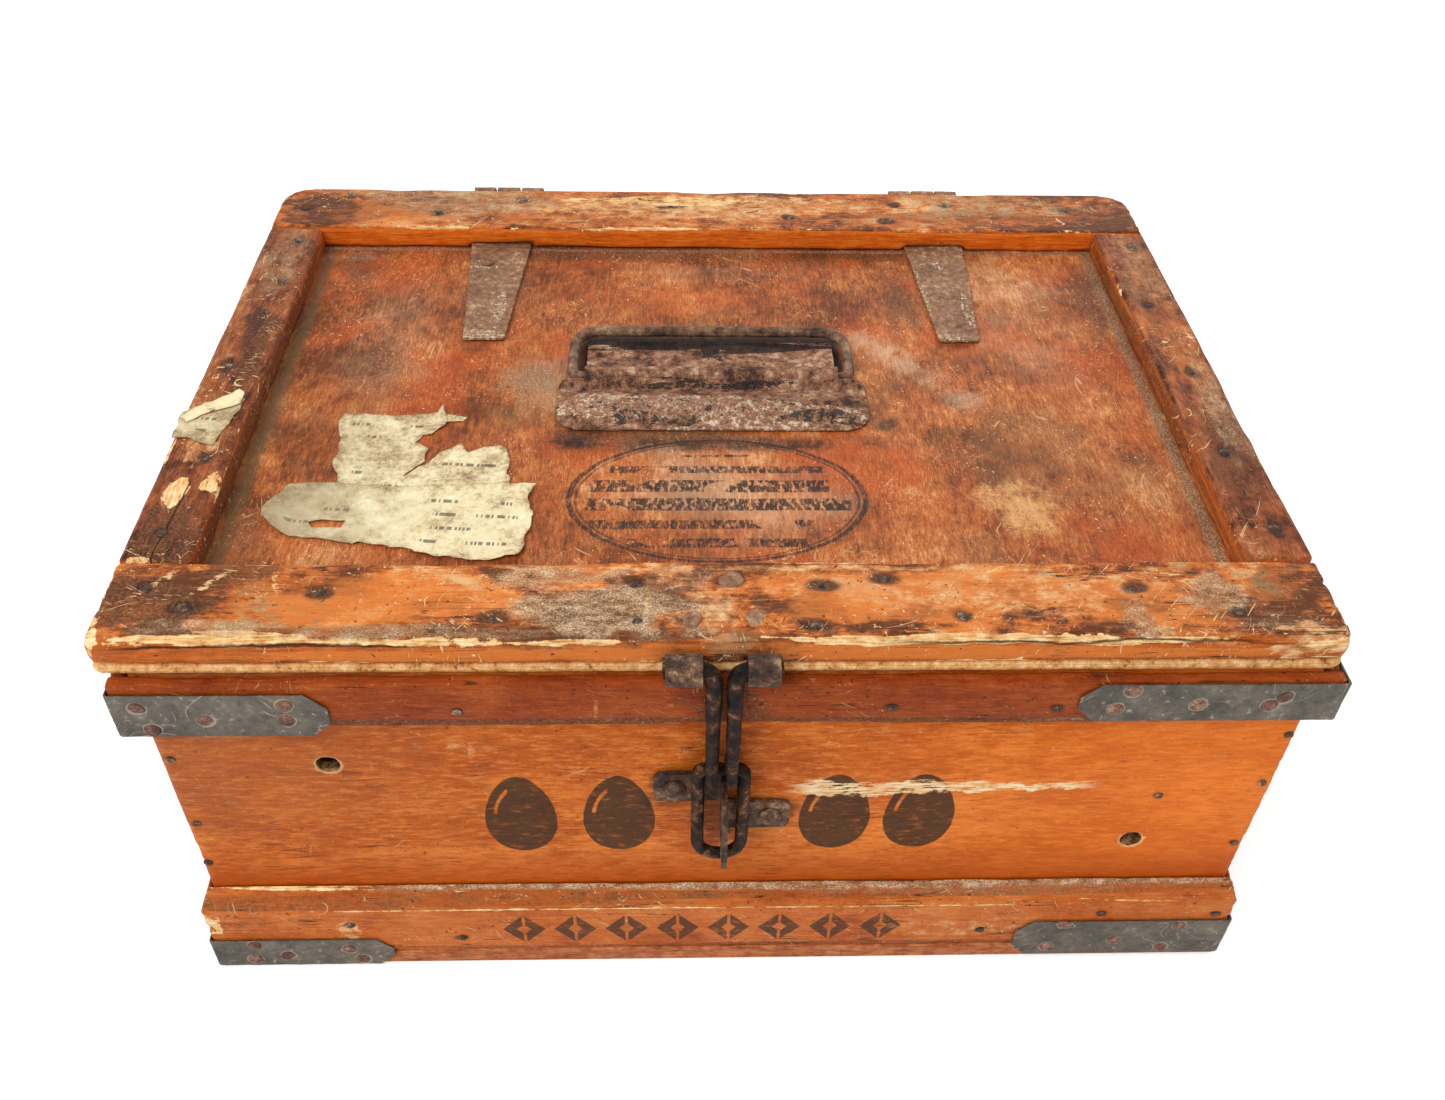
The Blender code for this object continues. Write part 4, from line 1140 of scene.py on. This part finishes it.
nails = [((x, -172, z), 1.5) for x, z in front_board_nails]
rest = {"nails": nails, "table": front_stains, "face": (1, -172, 3)}
worn_wood("front_board", 0, board_x, "front_pine", "box", 0.0016, 0.0004, **rest)
for node, along, look in (
    ("back_board", 0, plain_x),
    ("left_end_board", 1, plain_y),
    ("right_end_board", 1, plain_y),
):
    worn_wood(node, along, look, "bare_pine", "box", 0.0022, 0.0006, table=side_stains)

# %% [markdown]
# Battens run round the rim and the foot. Dust settles on the slopes of the foot battens,
# dirt gathers above and below them, and the front one's upper arris is rubbed bare.

# %% Battens
batten_nails = [
    (-169.2, 31.1), (-119.9, 20.1), (-105.3, 176.4), (60.0, 178), (124, 177), (118, 22),
    (172.1, 34.2), (225.6, 32.8),
]
foot_stains = """
    grime 0 0 49 500 500 6 0.52
    dust 40 -174 54.5 230 4 2.4 0.7
    dust 120 -175 51 110 5 4 0.35
    bare -30 -177.6 42.6 200 1.4 0.9 0.7
    bare -229 -176 34 4.5 4 10 0.8
    pale -170 28 6 8 0.6
    pale 120 24 70 9 0.46
    grime 0 12 240 2.5 0.6
"""
# The first row darkens the lower band of the front top batten along its whole length: painted shade on its
# downward bevel.
rim_stains = """
    grime 0 -178 168 235 4 4.5 0.7
    grime -4 -178 176 22 4 16 0.55
    pale -53 -178 178 1.2 2 10 0.45
    dust 150 169 60 2 0.42
"""
for level, look_x, look_y in (("top", batten_x, batten_y), ("foot", foot_x, foot_y)):
    for side in ("front", "back", "left", "right"):
        along, look = (0, look_x) if side in ("front", "back") else (1, look_y)
        voxel, nails, table = 0.0018, (), ""
        if side == "front":
            voxel, table = 0.0012, rim_stains
            nails = [((x, -178, z), 1.8) for x, z in batten_nails if (z > 100) == (level == "top")]
        if level == "foot":
            table = foot_stains
        rest = {"nails": nails, "table": table, "face": (1, -178, 3)}
        worn_wood(f"{level}_batten_{side}", along, look, "batten_pine", "box", voxel, 0.0007, **rest)

# %% [markdown]
# The iron is of three kinds: galvanised corner plates with rusty nails, brown rusted straps
# and handle, and black painted rods. Old iron is paint over rust over iron, so one fractal
# noise is read as how deep the surface has gone, and a ramp gives each depth its colour.
# The same noise drives the shine and the bump, which keeps pits dark and crusts raised.

# %% Irons


def old_iron(name, tones, size, rough=0.6, metal=0.1, deep=0.0009, pull=1.0, shine=0.3):
    """Iron under rust, with about size lumps of it to the metre. The five tones go from
    pits and paint to pale crust, and pull spreads them apart."""
    material, shader, start = new_material(name)
    place = start.node("ShaderNodeTexCoord", out="Object")
    crust_at, paint_and_shadow_at, _ = stored(start, "wear").parts()
    rust = lumps(place, size, 8, 0.7, 3)
    flake = lumps(place, size * 2.1, 5, 0.66, 12)
    speck = lumps(place, 1500, 4, 0.7, 8)
    level = rust * 0.5 + lumps(place, 45, 4, 0.6, 21) * 0.3 + speck * 0.2
    crusted = patchy(crust_at, flake, 0.42, 0.5)
    # The paint patches are black paint, and painted shadow where they lie under the bail.
    painted = patchy(paint_and_shadow_at, rust * 0.5 + flake * 0.5, 0.44, 0.48)
    _, crust_tones = tones.split(" ", 1)
    colour = coats(
        ramp((level - 0.5) * pull + 0.5, tones, 0.41, 0.59),
        (crusted * 0.85, ramp(speck * 0.5 + flake * 0.5, crust_tones + " f0e2c8")),
        (crusted * step(flake, 0.53, 0.58) * 0.6, "e2d2b6"),
        (painted * 0.9, ramp(speck, "070607 141215 3e3636")),
    )
    rough = rough - painted * 0.25 + crusted * 0.25 + speck * 0.1
    relief = rust * 0.6 + flake * 0.25 + crusted * 0.35 + speck * 0.3
    finish(shader, colour, rough, relief, 0.7, deep, shine)
    plug((1 - step(rust, 0.42, 0.56)) * metal, shader, "Metallic")
    return material


def galvanised(name):
    """Grey zinc: mottled, scratched, and stained round its nails."""
    material, shader, start = new_material(name)
    place = start.node("ShaderNodeTexCoord", out="Object")
    halo_at, rust_at, _ = stored(start, "wear").parts()
    cloudy = lumps(place, 60, 8, 0.7, 3)
    flake = lumps(place, 300, 5, 0.7, 8)
    speck = lumps(place, 1300, 4, 0.7, 5)
    tones = "34302c 4c463e 5e574d 70685c 928876"
    colour = coats(
        ramp(cloudy * 0.6 + flake * 0.25 + speck * 0.15, tones),
        (step(flake, 0.62, 0.66) * 0.6, "bab09c"),
        ((1 - step(flake, 0.34, 0.38)) * 0.6, "3a2e26"),
        (patchy(halo_at, flake, 0.3, 0.6) * 0.6, "b0a490"),
        (patchy(rust_at, flake, 0.35, 0.6) * 0.75, "78503a"),
        (scratches(place, "Y", 0.35, 3, 1500, 60) * 0.5, "b6b0a4"),
    )
    relief = cloudy + flake * 0.5 + speck * 0.2
    finish(shader, colour, 0.46 + flake * 0.3, relief, 0.5, 0.0008, 0.3)
    plug(step(cloudy, 0.4, 0.6) * 0.25, shader, "Metallic")
    return material


zinc = galvanised("galvanised_plate")
rusty_tones = "6c4a34 825b40 90684b a0785a c4a07c"
handle_tones = "3c2c26 6c4a39 8e634b a0755c caa686"
bail_tones = "281c16 563c2d 6e503c 82624a ac8a6c"
dark_tones = "1c130e 362419 523828 70503a a28062"
black_tones = "080606 140c09 26160e 462a1a 8a6244"
rusty_iron = old_iron("rusty_iron", rusty_tones, 300, pull=1.1)
handle_iron = old_iron("handle_iron", handle_tones, 210, deep=0.0011, pull=1.25, shine=0.1)
bail_iron = old_iron("bail_iron", bail_tones, 240)
dark_iron = old_iron("dark_iron", dark_tones, 220)
black_iron = old_iron("black_iron", black_tones, 190, 0.5, 0.3, shine=0.15)
print("iron:", len(rusty_iron.node_tree.nodes), "nodes")

# %% [markdown]
# A corner plate is thin sheet, and each nail has pulled it down a little and let water in
# under its head. So the copy sinks round every nail, and a pale ring and a rusty one are
# stored there. The nail places at the front are those of the real crate.

# %% Corner plates
plate_nails = [
    (-223.3, 181), (-199.5, 174), (-168.8, 182.3), (-169.4, 173.8), (-220.3, 169),
    (150.6, 188.0), (146, 177.9), (177.7, 180.2), (205.4, 179.7), (210.2, 184.3),
    (-214.4, 17.6), (-200.5, 9.3), (-216, 6.1), (-172.1, 13.7), (-167, 5.7),
    (156.3, 27.4), (150.9, 9.2), (182, 14.1), (210.2, 25.9), (205.8, 8),
]
side_nails = [
    (side, y, z + 2.5 * math.sin(y * 9 + side))
    for side in (-1, 1)
    for y in (-166, -140, -124, 124, 141, 165)
    for z in (14.5, 178 + side * 2)
]


def worn_iron(node, body, look, voxel=0.0006, pit=0.0002, table="", dents=(), swell=0.0):
    """A pitted copy of an iron solid. dents are nail places: the sheet sinks round them.
    Rust takes up more room than iron, so it can swell too."""
    piece = fine_copy(node, voxel)
    points, facing = points_of(piece.data)
    seed = sum(map(ord, node)) % 89
    depth = pit * layered(points, 0.0022, seed) + pit * 1.2 * layered(points, 0.009, seed) - swell
    ring, rust = stains_of(points, iron_stains, table, None, seed)
    ragged = (layered(points, 0.003, seed) - 0.5) * 1.6
    for place in dents:
        near = np.sqrt(((points * 1000 - place) ** 2).sum(axis=1))
        ring = np.maximum(ring, climb(4.3 + ragged - near, 0, 1.2))
        rust = np.maximum(rust, 0.8 * climb(3.0 + ragged - near, 0, 1.2))
        depth = depth + 0.00035 * climb(5.0 - near, 0, 3.5)
    move_points(piece.data, points - facing * depth[:, None])
    paint_points(piece.data, "wear", ring, rust)
    dress(piece, node, body, look)


for node in [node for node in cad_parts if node.startswith("corner_plate")]:
    sign = -1 if "left" in node else 1
    at_top = "top" in node
    dents = [(way * 234.5, y, z) for way, y, z in side_nails if way == sign and (z > 100) == at_top]
    if "front" in node:
        dents += [(x, -179.5, z) for x, z in plate_nails if x * sign > 0 and (z > 100) == at_top]
    voxel = 0.0006 if "front" in node else 0.001
    worn_iron(node, "box", zinc, voxel, 0.00022, dents=dents)

# %% [markdown]
# The other irons are forged or bent from bar and wire. Black paint is left in the hollows
# of the handle's plate, and pale crust has grown on its flange and on the straps. Under
# the bail's back bar the same black is painted shadow, and the pale flecks along the
# flange's front edge are partly painted highlight. The rods and the link have swollen
# with rust.

# %% Handle, hinges and hasp
# The paint rows at y 32 and 37, under the bail's back bar, are painted shadow, and the crust row at y -31
# on the front edge is crust with painted highlight.
handle_stains = """
    crust -5 -20 203 74 9 8 0.72
    crust 30 -26 200 40 4 6 0.7
    crust -60 -16 203 14 10 8 0.6
    crust -20 -14 203 20 5 8 0.5
    crust 16 -31 199 46 2 3 0.8
    paint -5 1 206 60 4 8 0.52
    paint -34 -23 202 40 8 8 0.45
    paint 44 -24 202 24 6 8 0.47
    paint -5 -16 203 76 16 8 0.41
    paint -5 32 202 8 9 6 0.62
    paint -5 37 202 66 5.5 5 0.85
    paint 20 22 202 30 6 6 0.4
"""


def refinish(node, look):
    """Gives another finish to a CAD solid that is shown as it is."""
    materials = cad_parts[node].data.materials
    materials.clear()
    materials.append(look)


worn_iron("handle_plate", "lid", handle_iron, 0.0007, 0.00035, handle_stains)
# The bail's paint row darkens its lower side: black paint with painted shade.
worn_iron("handle_bail", "bail", bail_iron, 0.0005, 0.0003, "paint -5 36 202 64 5 4 0.45")
for side, x, tip_crust in (("left", -120, 1.3), ("right", 118, 0.4)):
    strap_stains = f"""
        crust {x} 46 200 14 5 5 {tip_crust}
        crust {x - 12} 84 200 3 36 5 0.55
        crust {x + 9} 70 200 3 22 5 0.5
        crust {x - 3} 114 200 7 6 5 0.5
        crust {x} 80 200 12 40 5 0.34
    """
    worn_iron(f"hinge_strap_{side}", "lid", rusty_iron, 0.0008, 0.0003, strap_stains)
    worn_iron(f"hinge_leaf_{side}", "box", rusty_iron, 0.0008, 0.0002)
    worn_iron(f"hinge_pin_{side}", "box", rusty_iron, 0.0008, 0.0002)
    worn_iron(f"hasp_strap_{side}", "lid", dark_iron, 0.0006, 0.0003)
    worn_iron(f"hasp_rod_{side}", "hasp", black_iron, 0.0005, 0.00035, swell=0.0006)
    refinish(f"staple_screw_{side}", dark_iron)
worn_iron("hasp_link", "link", black_iron, 0.0005, 0.0003, swell=0.0005)
worn_iron("hasp_staple", "box", dark_iron, 0.0006, 0.0003, "crust -3 -190 100 3 12 4 0.5")

# %% [markdown]
# Nails repeat, so Geometry Nodes make them. The tree puts a flattened, slightly tilted
# head on every point, turned to face the way that the point says, and pushes it out of
# true with noise. Its named inputs are the head's radius and how flat it is. The seeds
# are fixed, so each run gives the same nails.

# %% The nail heads' tree


def nail_tree(material):
    """A tree that makes nail heads of one iron from points."""
    tree = bpy.data.node_groups.new("nail_heads", "GeometryNodeTree")
    sockets = tree.interface
    sockets.new_socket("Points", in_out="INPUT", socket_type="NodeSocketGeometry")
    for label, value in (("Head radius", 0.0028), ("Flatness", 0.36)):
        socket = sockets.new_socket(label, in_out="INPUT", socket_type="NodeSocketFloat")
        socket.default_value = value
    sockets.new_socket("Heads", in_out="OUTPUT", socket_type="NodeSocketGeometry")
    given = Wire(tree).node("NodeGroupInput")
    radius, flatness = given.other("Head radius"), given.other("Flatness")

    def read(name, kind):
        """A value stored at each point."""
        return given.node("GeometryNodeInputNamedAttribute", {"data_type": kind}, {"Name": name})

    round_shape = {"Segments": 14, "Rings": 8, "Radius": radius}
    ball = given.node("GeometryNodeMeshUVSphere", (), round_shape)
    shape = flatness.node("ShaderNodeCombineXYZ", (), {0: 1.0, 1: 0.93, 2: flatness})
    head = ball.node("GeometryNodeTransform", (), {"Geometry": ball, "Scale": shape})
    limits = {0: (-0.16, -0.16, -0.16), 1: (0.16, 0.16, 0.16), "Seed": 5}
    lean = given.node("FunctionNodeRandomValue", {"data_type": "FLOAT_VECTOR"}, limits)
    way = {"Vector": read("facing", "FLOAT_VECTOR") + lean}
    turn = given.node("FunctionNodeAlignRotationToVector", {"axis": "Z"}, way)
    each = {"Points": given, "Instance": head, "Rotation": turn, "Scale": read("size", "FLOAT")}
    placed = given.node("GeometryNodeInstanceOnPoints", (), each)
    real = placed.node("GeometryNodeRealizeInstances", (), {0: placed})
    spots = given.node("GeometryNodeInputPosition")
    bent = given.node("ShaderNodeTexNoise", (), {"Vector": spots, "Scale": 420.0}, "Color")
    push = {"Geometry": real, "Offset": (bent - (0.5, 0.5, 0.5)) * 0.0013}
    pushed = real.node("GeometryNodeSetPosition", (), push)
    done = pushed.node("GeometryNodeSetMaterial", (), {"Geometry": pushed, "Material": material})
    end = tree.nodes.new("NodeGroupOutput")
    tree.links.new(done.socket, end.inputs[0])
    return tree


nail_tones = "1a120f 32221a 4e382a 705642 b49c80"
rust_tones = "462c24 5e3e32 765042 8a6452 ac8a72"
dark_heads = nail_tree(old_iron("nail_iron", nail_tones, 320, 0.65, 0.0))
rusty_heads = nail_tree(old_iron("nail_rust", rust_tones, 320))
brown_heads = nail_tree(rusty_iron)
print("nail tree:", len(dark_heads.nodes), "nodes")

# %% [markdown]
# Every head sits where its nail was driven: in the lid's rails, in the straps, above the
# hasp, in the corner plates, and in the boards and battens. Those at the back mirror the
# front ones, since nothing shows them. Heads on the lid differ a little in size.

# %% Nail heads
up, front, back = (0, 0, 1), (0, -1, 0), (0, 1, 0)


def nail_heads(name, body, nails, tree, radius, flatness):
    """Adds heads as a plain mesh. Each nail: its place in mm, facing and relative size."""
    mesh = bpy.data.meshes.new(name)
    mesh.from_pydata([Vector(place) / 1000 for place, _, _ in nails], [], [])
    facing = mesh.attributes.new("facing", "FLOAT_VECTOR", "POINT")
    facing.data.foreach_set("vector", [part for _, way, _ in nails for part in way])
    size = mesh.attributes.new("size", "FLOAT", "POINT")
    size.data.foreach_set("value", [amount for _, _, amount in nails])
    heads = bpy.data.objects.new(name, mesh)
    scene.collection.objects.link(heads)
    maker = heads.modifiers.new("Nails", "NODES")
    maker.node_group = tree
    values = {"Head radius": radius, "Flatness": flatness}
    for item in tree.interface.items_tree:
        if item.name in values:
            maker[item.identifier] = values[item.name]
    real = made_plain(heads)
    real.polygons.foreach_set("use_smooth", [True] * len(real.polygons))
    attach(heads, body)
    print(name, len(nails), "heads,", len(real.polygons), "faces")


lid_nails = [
    ((x, y, 209.0), up, 0.9 + 0.22 * math.sin(x * 5.1))
    for side in ("front", "back", "right", "left")
    for x, y in rail_nails[side]
]
nail_heads("lid_nails", "lid", lid_nails, dark_heads, 0.0027, 0.3)
strap_rivets = [(-122.3, 114.7), (-116.9, 53.6), (111.8, 111.6), (117.7, 56.8)]
lid_rivets = [((x, y, 199.7), up, 1.0) for x, y in strap_rivets]
nail_heads("lid_rivets", "lid", lid_rivets, brown_heads, 0.0042, 0.2)
washers = [((x, y, 209.6), up, 1.0) for x, y in ((-18, -161.4), (8.8, -161.4), (-1.7, -140.6))]
nail_heads("hasp_washers", "lid", washers, brown_heads, 0.0054, 0.14)

box_nails = [((x, -179.2, z), front, 1.0) for x, z in plate_nails]
box_nails += [((side * 234.2, y, z), (side, 0, 0), 0.95) for side, y, z in side_nails]
nail_heads("plate_nails", "box", box_nails, rusty_heads, 0.0033, 0.22)
box_nails = [((x, -171.9, z), front, 0.7) for x, z in front_board_nails]
box_nails += [((x, -177.8, z), front, 0.72) for x, z in batten_nails]
box_nails += [((-x, 171.9, z), back, 0.7) for x, z in front_board_nails]
box_nails += [((-x, 177.8, z), back, 0.75) for x, z in batten_nails]
for side in (-1, 1):
    places = [(side * 232.9, y, z) for y in (-95, -20, 60, 110) for z in (28, 181)]
    box_nails += [(place, (side, 0, 0), 0.8) for place in places]
nail_heads("box_nails", "box", box_nails, dark_heads, 0.0029, 0.3)

# %% [markdown]
# Labels were pasted on the lid and have torn. The paper is brittle and blotched, soiled
# where dirt ran off the rail, and shows small faint bars. They are rows across the label,
# cut into short pieces by two noises.

# %% Old paper
row_height = 0.0085


def old_paper(name, pale, grey, soiled=0.0):
    """Brittle paper: blotched, flecked and printed with faint bars. The end of the label
    near the rail is soiled."""
    material, shader, start = new_material(name)
    place = start.node("ShaderNodeTexCoord", out="Object")
    stain_at, print_at, _ = stored(start, "wear").parts()
    blot = lumps(place, 70, 8, 0.7, 12)
    flake = lumps(place, 420, 5, 0.7, 4)
    fibre = lumps(place, 1500, 4, 0.7, 8)
    level = blot * 0.6 + flake * 0.4 - stain_at * 0.08 + (fibre - 0.5) * 0.2
    turning = {"Vector": place, "Angle": math.radians(4)}
    turned = place.node("ShaderNodeVectorRotate", {"rotation_type": "Z_AXIS"}, turning)
    x, y, _ = turned.parts()
    line = (y / row_height).sum("FRACT")
    row = (y / row_height).sum("FLOOR")
    ticks = lumps(joined(x * 620, row), 1.0, 0)
    gaps = lumps(joined(x * 60, row * 3.7), 1.0, 0, 0.5, 3)
    ink = step(line, 0.5, 0.54) * (1 - step(line, 0.74, 0.78))
    ink = ink * step(ticks, 0.46, 0.5) * step(gaps, 0.48, 0.52)
    ink = ink * patchy(print_at, flake * 0.5 + blot * 0.5, 0.36, 0.5)
    colour = coats(
        ramp(level, f"846a4c {grey} {pale} f6e8be fff8d8", 0.32, 0.64),
        (ink * 0.75, "524234"),
        ((1 - step(x + (blot - 0.5) * 0.1, -0.185, -0.11)) * soiled, "988262"),
    )
    finish(shader, colour, 0.9, fibre * 0.4 + flake * 0.5 + blot, 0.8, 0.0009, 0.15)
    return material


grey_paper = old_paper("old_paper_grey", "e0ca9e", "ac926e", 0.3)
pale_paper = old_paper("old_paper_pale", "eeddb0", "c8b086", 0.7)
clean_paper = old_paper("old_paper_clean", "f6e6b8", "e4ce9e")
print("paper:", len(grey_paper.node_tree.nodes), "nodes")

# %% [markdown]
# A scrap is a flat outline, roughened with random steps so that it looks torn, filled with
# triangles and then creased by moving its points up and down. Solidify gives it a paper's
# thickness. Cloth simulation would also crease it, but old paste holds paper flat, so low
# lumps are nearer the truth.

# %% Torn paper


def torn_outline(corners, step_length=0.0016, ragged=0.0011, seed=0):
    """Points along a closed outline in metres, pushed aside at random as paper tears."""
    corners = [np.array(corner) / 1000 for corner in corners]
    line = []
    for first, second in zip(corners, corners[1:] + corners[:1]):
        count = max(1, int(np.linalg.norm(second - first) / step_length))
        line += [first + (second - first) * i / count for i in range(count)]
    line = np.array(line)
    flat = np.c_[line, np.zeros(len(line))]
    push = [layered(flat, 0.006, number, 4) - 0.5 for number in (seed, seed + 20)]
    return line + np.stack(push, axis=1) * ragged * 4


def within(point, loop):
    """Whether a point lies inside a closed outline: a ray from it crosses that an odd
    number of times."""
    x, y = point
    ends = np.roll(loop, -1, axis=0)
    spans = (loop[:, 1] > y) != (ends[:, 1] > y)
    rise = ends[:, 1] - loop[:, 1]
    rise[rise == 0] = 1e-12
    cross = loop[:, 0] + (y - loop[:, 1]) * (ends[:, 0] - loop[:, 0]) / rise
    return bool((spans & (cross > x)).sum() % 2)


def filled(outline, holes, grid=0.0017):
    """Points and triangles that fill an outline, except inside its holes."""
    points, edges = [], []
    for loop in (outline, *holes):
        first = len(points)
        points += [Vector(point) for point in loop]
        edges += [(first + i, first + (i + 1) % len(loop)) for i in range(len(loop))]
    low, high = outline.min(axis=0), outline.max(axis=0)
    for i, x in enumerate(np.arange(low[0], high[0], grid)):
        first_y = low[1] + (i % 2) * 0.0008
        points += [Vector((x, y)) for y in np.arange(first_y, high[1], grid)]
    made = geometry.delaunay_2d_cdt(points, edges, [], 2 if holes else 1, 1e-6)
    flat = np.array([tuple(point) for point in made[0]])
    middles = [np.mean([flat[corner] for corner in face], axis=0) for face in made[2]]
    solid = [not any(within(middle, hole) for hole in holes) for middle in middles]
    return flat, [face for face, kept in zip(made[2], solid) if kept]


def face_up(mesh):
    """Drops points that no face uses, and turns all faces upwards."""
    form = bmesh.new()
    form.from_mesh(mesh)
    loose = [vert for vert in form.verts if not vert.link_faces]
    bmesh.ops.delete(form, geom=loose, context="VERTS")
    bmesh.ops.recalc_face_normals(form, faces=form.faces)
    if sum(face.normal.z for face in form.faces) < 0:
        bmesh.ops.reverse_faces(form, faces=form.faces)
    form.to_mesh(mesh)
    form.free()


def from_rim(points, outline):
    """How far each point is from the torn outline, seen from above."""
    return np.sqrt(((points[:, None, :2] - outline[None]) ** 2).sum(axis=2)).min(axis=1)


def paper(name, corners, ground, look, holes=(), curl=(), seed=0, thickness=0.00028, lift=0.0006):
    """A torn scrap on flat ground. Corners, holes and curls are in millimetres, and the
    thickness and the lift of its creases in metres."""
    outline = torn_outline(corners, seed=seed)
    flat, faces = filled(outline, [torn_outline(hole, 0.0009, 0.0004, seed + 9) for hole in holes])
    spots = np.c_[flat, np.zeros(len(flat))]
    rim = from_rim(spots, outline)
    height = lift * layered(spots, 0.016, seed + 1) + 0.00035 * layered(spots, 0.004, seed)
    height = height + 0.0006 * climb(0.004 - rim, 0, 0.004) * cloud(spots, 0.012, seed + 2)
    for centre, reach, rise in curl:
        away = np.sqrt((((flat * 1000 - centre) / reach) ** 2).sum(axis=1))
        height = height + rise / 1000 * climb(1 - away, 0, 1)
    spots[:, 2] = ground / 1000 + 0.00012 + height
    mesh = bpy.data.meshes.new(name)
    mesh.from_pydata(spots.tolist(), [], faces)
    face_up(mesh)
    mesh.polygons.foreach_set("use_smooth", [True] * len(mesh.polygons))
    scrap = bpy.data.objects.new(name, mesh)
    scene.collection.objects.link(scrap)
    sheet = scrap.modifiers.new("Thickness", "SOLIDIFY")
    sheet.thickness, sheet.offset = thickness, -1
    solid = made_plain(scrap)
    solid.materials.append(look)
    points, _ = points_of(solid)
    rim = from_rim(points, outline)
    stain = climb(0.006 * layered(points, 0.006, seed + 4) - rim, -0.002, 0.003) * 0.7
    paint_points(solid, "wear", stain, climb(rim, 0.004, 0.008), 0 * stain)
    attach(scrap, "lid")
    print(name, len(solid.polygons), "faces")


print("a torn triangle 9 mm high has", len(torn_outline([(0, 0), (9, 0), (9, 9)])), "points")

# %% [markdown]
# Five scraps are left: a torn sheet and a strip on the panel, a trace of paste, and two
# scraps on the left rail. Their corners follow the tears of the real paper.

# %% Paper scraps
sheet = [
    (-174, -18), (-155, -19), (-130, -18), (-129, -12), (-126, -22), (-128, -27), (-131, -32),
    (-136, -34), (-138, -40), (-132, -43), (-133, -53), (-140, -61), (-141, -63), (-130, -53),
    (-126, -46), (-118, -41), (-114, -46), (-111, -45), (-108, -43), (-102, -42), (-97, -44),
    (-95, -53), (-95, -68), (-110, -76), (-150, -78), (-168, -72), (-167, -65), (-171, -56),
    (-171, -47), (-172, -37),
]
strip = [
    (-187, -68), (-168, -68), (-150, -70), (-120, -69), (-95, -68), (-83, -70), (-84, -77),
    (-82, -89), (-84, -103), (-86, -115), (-97, -116), (-115, -115), (-135, -109),
    (-159, -105), (-185, -100), (-193, -93), (-192, -80),
]
torn_hole = [(-174, -93), (-169, -91.5), (-159, -92.5), (-160, -97), (-172, -96.5)]
trace = [(-129, -18), (-117, -19), (-119, -23), (-127, -24)]
rail_scrap = [(-238, -53), (-238, -34), (-226, -25), (-214, -24), (-214, -30), (-220, -57), (-232, -52)]
rail_strip = [
    (-238, -38), (-230, -29), (-217, -20), (-213.5, -24), (-214.5, -29), (-226, -34), (-234, -42),
]
# Each curl: its centre, its reach and its rise
sheet_curl = [((-128, -14), (7, 8), 2.0), ((-97, -46), (9, 9), 1.0)]
strip_curl = [((-194, -90), (17, 17), 3.4), ((-84, -72), (9, 8), 1.6), ((-86, -114), (14, 12), 1.4)]
rail_curl = [((-214, -22), (8, 8), 2.2)]
paper("label_sheet", sheet, 197.5, grey_paper, curl=sheet_curl)
paper("label_strip", strip, 197.9, pale_paper, [torn_hole], strip_curl, seed=3)
paper("label_ghost", trace, 197.4, grey_paper, seed=11, thickness=0.00012, lift=0.0001)
paper("rail_scrap", rail_scrap, 210, grey_paper, seed=5)
paper("rail_strip", rail_strip, 210.5, clean_paper, curl=rail_curl, seed=8, lift=0.0012)

# %% [markdown]
# Inside, where only an open lid shows them, a layer of strawboard dividers keeps the eggs
# apart. Strawboard is pressed straw: dull, yellow-brown and flecked. The bottom board is
# bare pine, with varnish on the edge that shows below the foot battens.

# %% Inside of the crate
strawboard, shader, start = new_material("strawboard")
place = start.node("ShaderNodeTexCoord", out="Object")
flecks = lumps(place * (1, 1, 0.4), 900, 3, 0.6)
clouds = lumps(place, 40, 4, 0.6)
colour = coats(
    mix(step(clouds, 0.35, 0.65), "9e7e54", "ba986a"),
    (step(flecks, 0.56, 0.7) * 0.6, "d4b88a"),
    ((1 - step(flecks, 0.3, 0.42)) * 0.6, "745838"),
)
finish(shader, colour, 0.92, flecks + clouds * 0.5, 0.6, 0.0004, 0.5)
bare_tones = "8c603c b08054 c89666 deb280 eccca0"


def varnished_rim(place, colour, ragged, fibre):
    """Varnish on the edge of the bottom board."""
    x, y, _ = place.parts()
    rim = most(abs(x) > 0.2225, abs(y) > 0.1675)
    return mix(rim, colour, ramp(ragged * 0.6 + fibre * 0.4, "783e22 b6683c d68c5a"))


refinish("bottom_board", old_wood("bare_pine", 0, bare_tones, "Z", 0.5, 0.2, marks=varnished_rim))
cardboard = [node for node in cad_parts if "divider" in node or node == "bottom_pad"]
for node in cardboard:
    refinish(node, strawboard)
print("inside:", len(cardboard), "pieces of strawboard")

# %% [markdown]
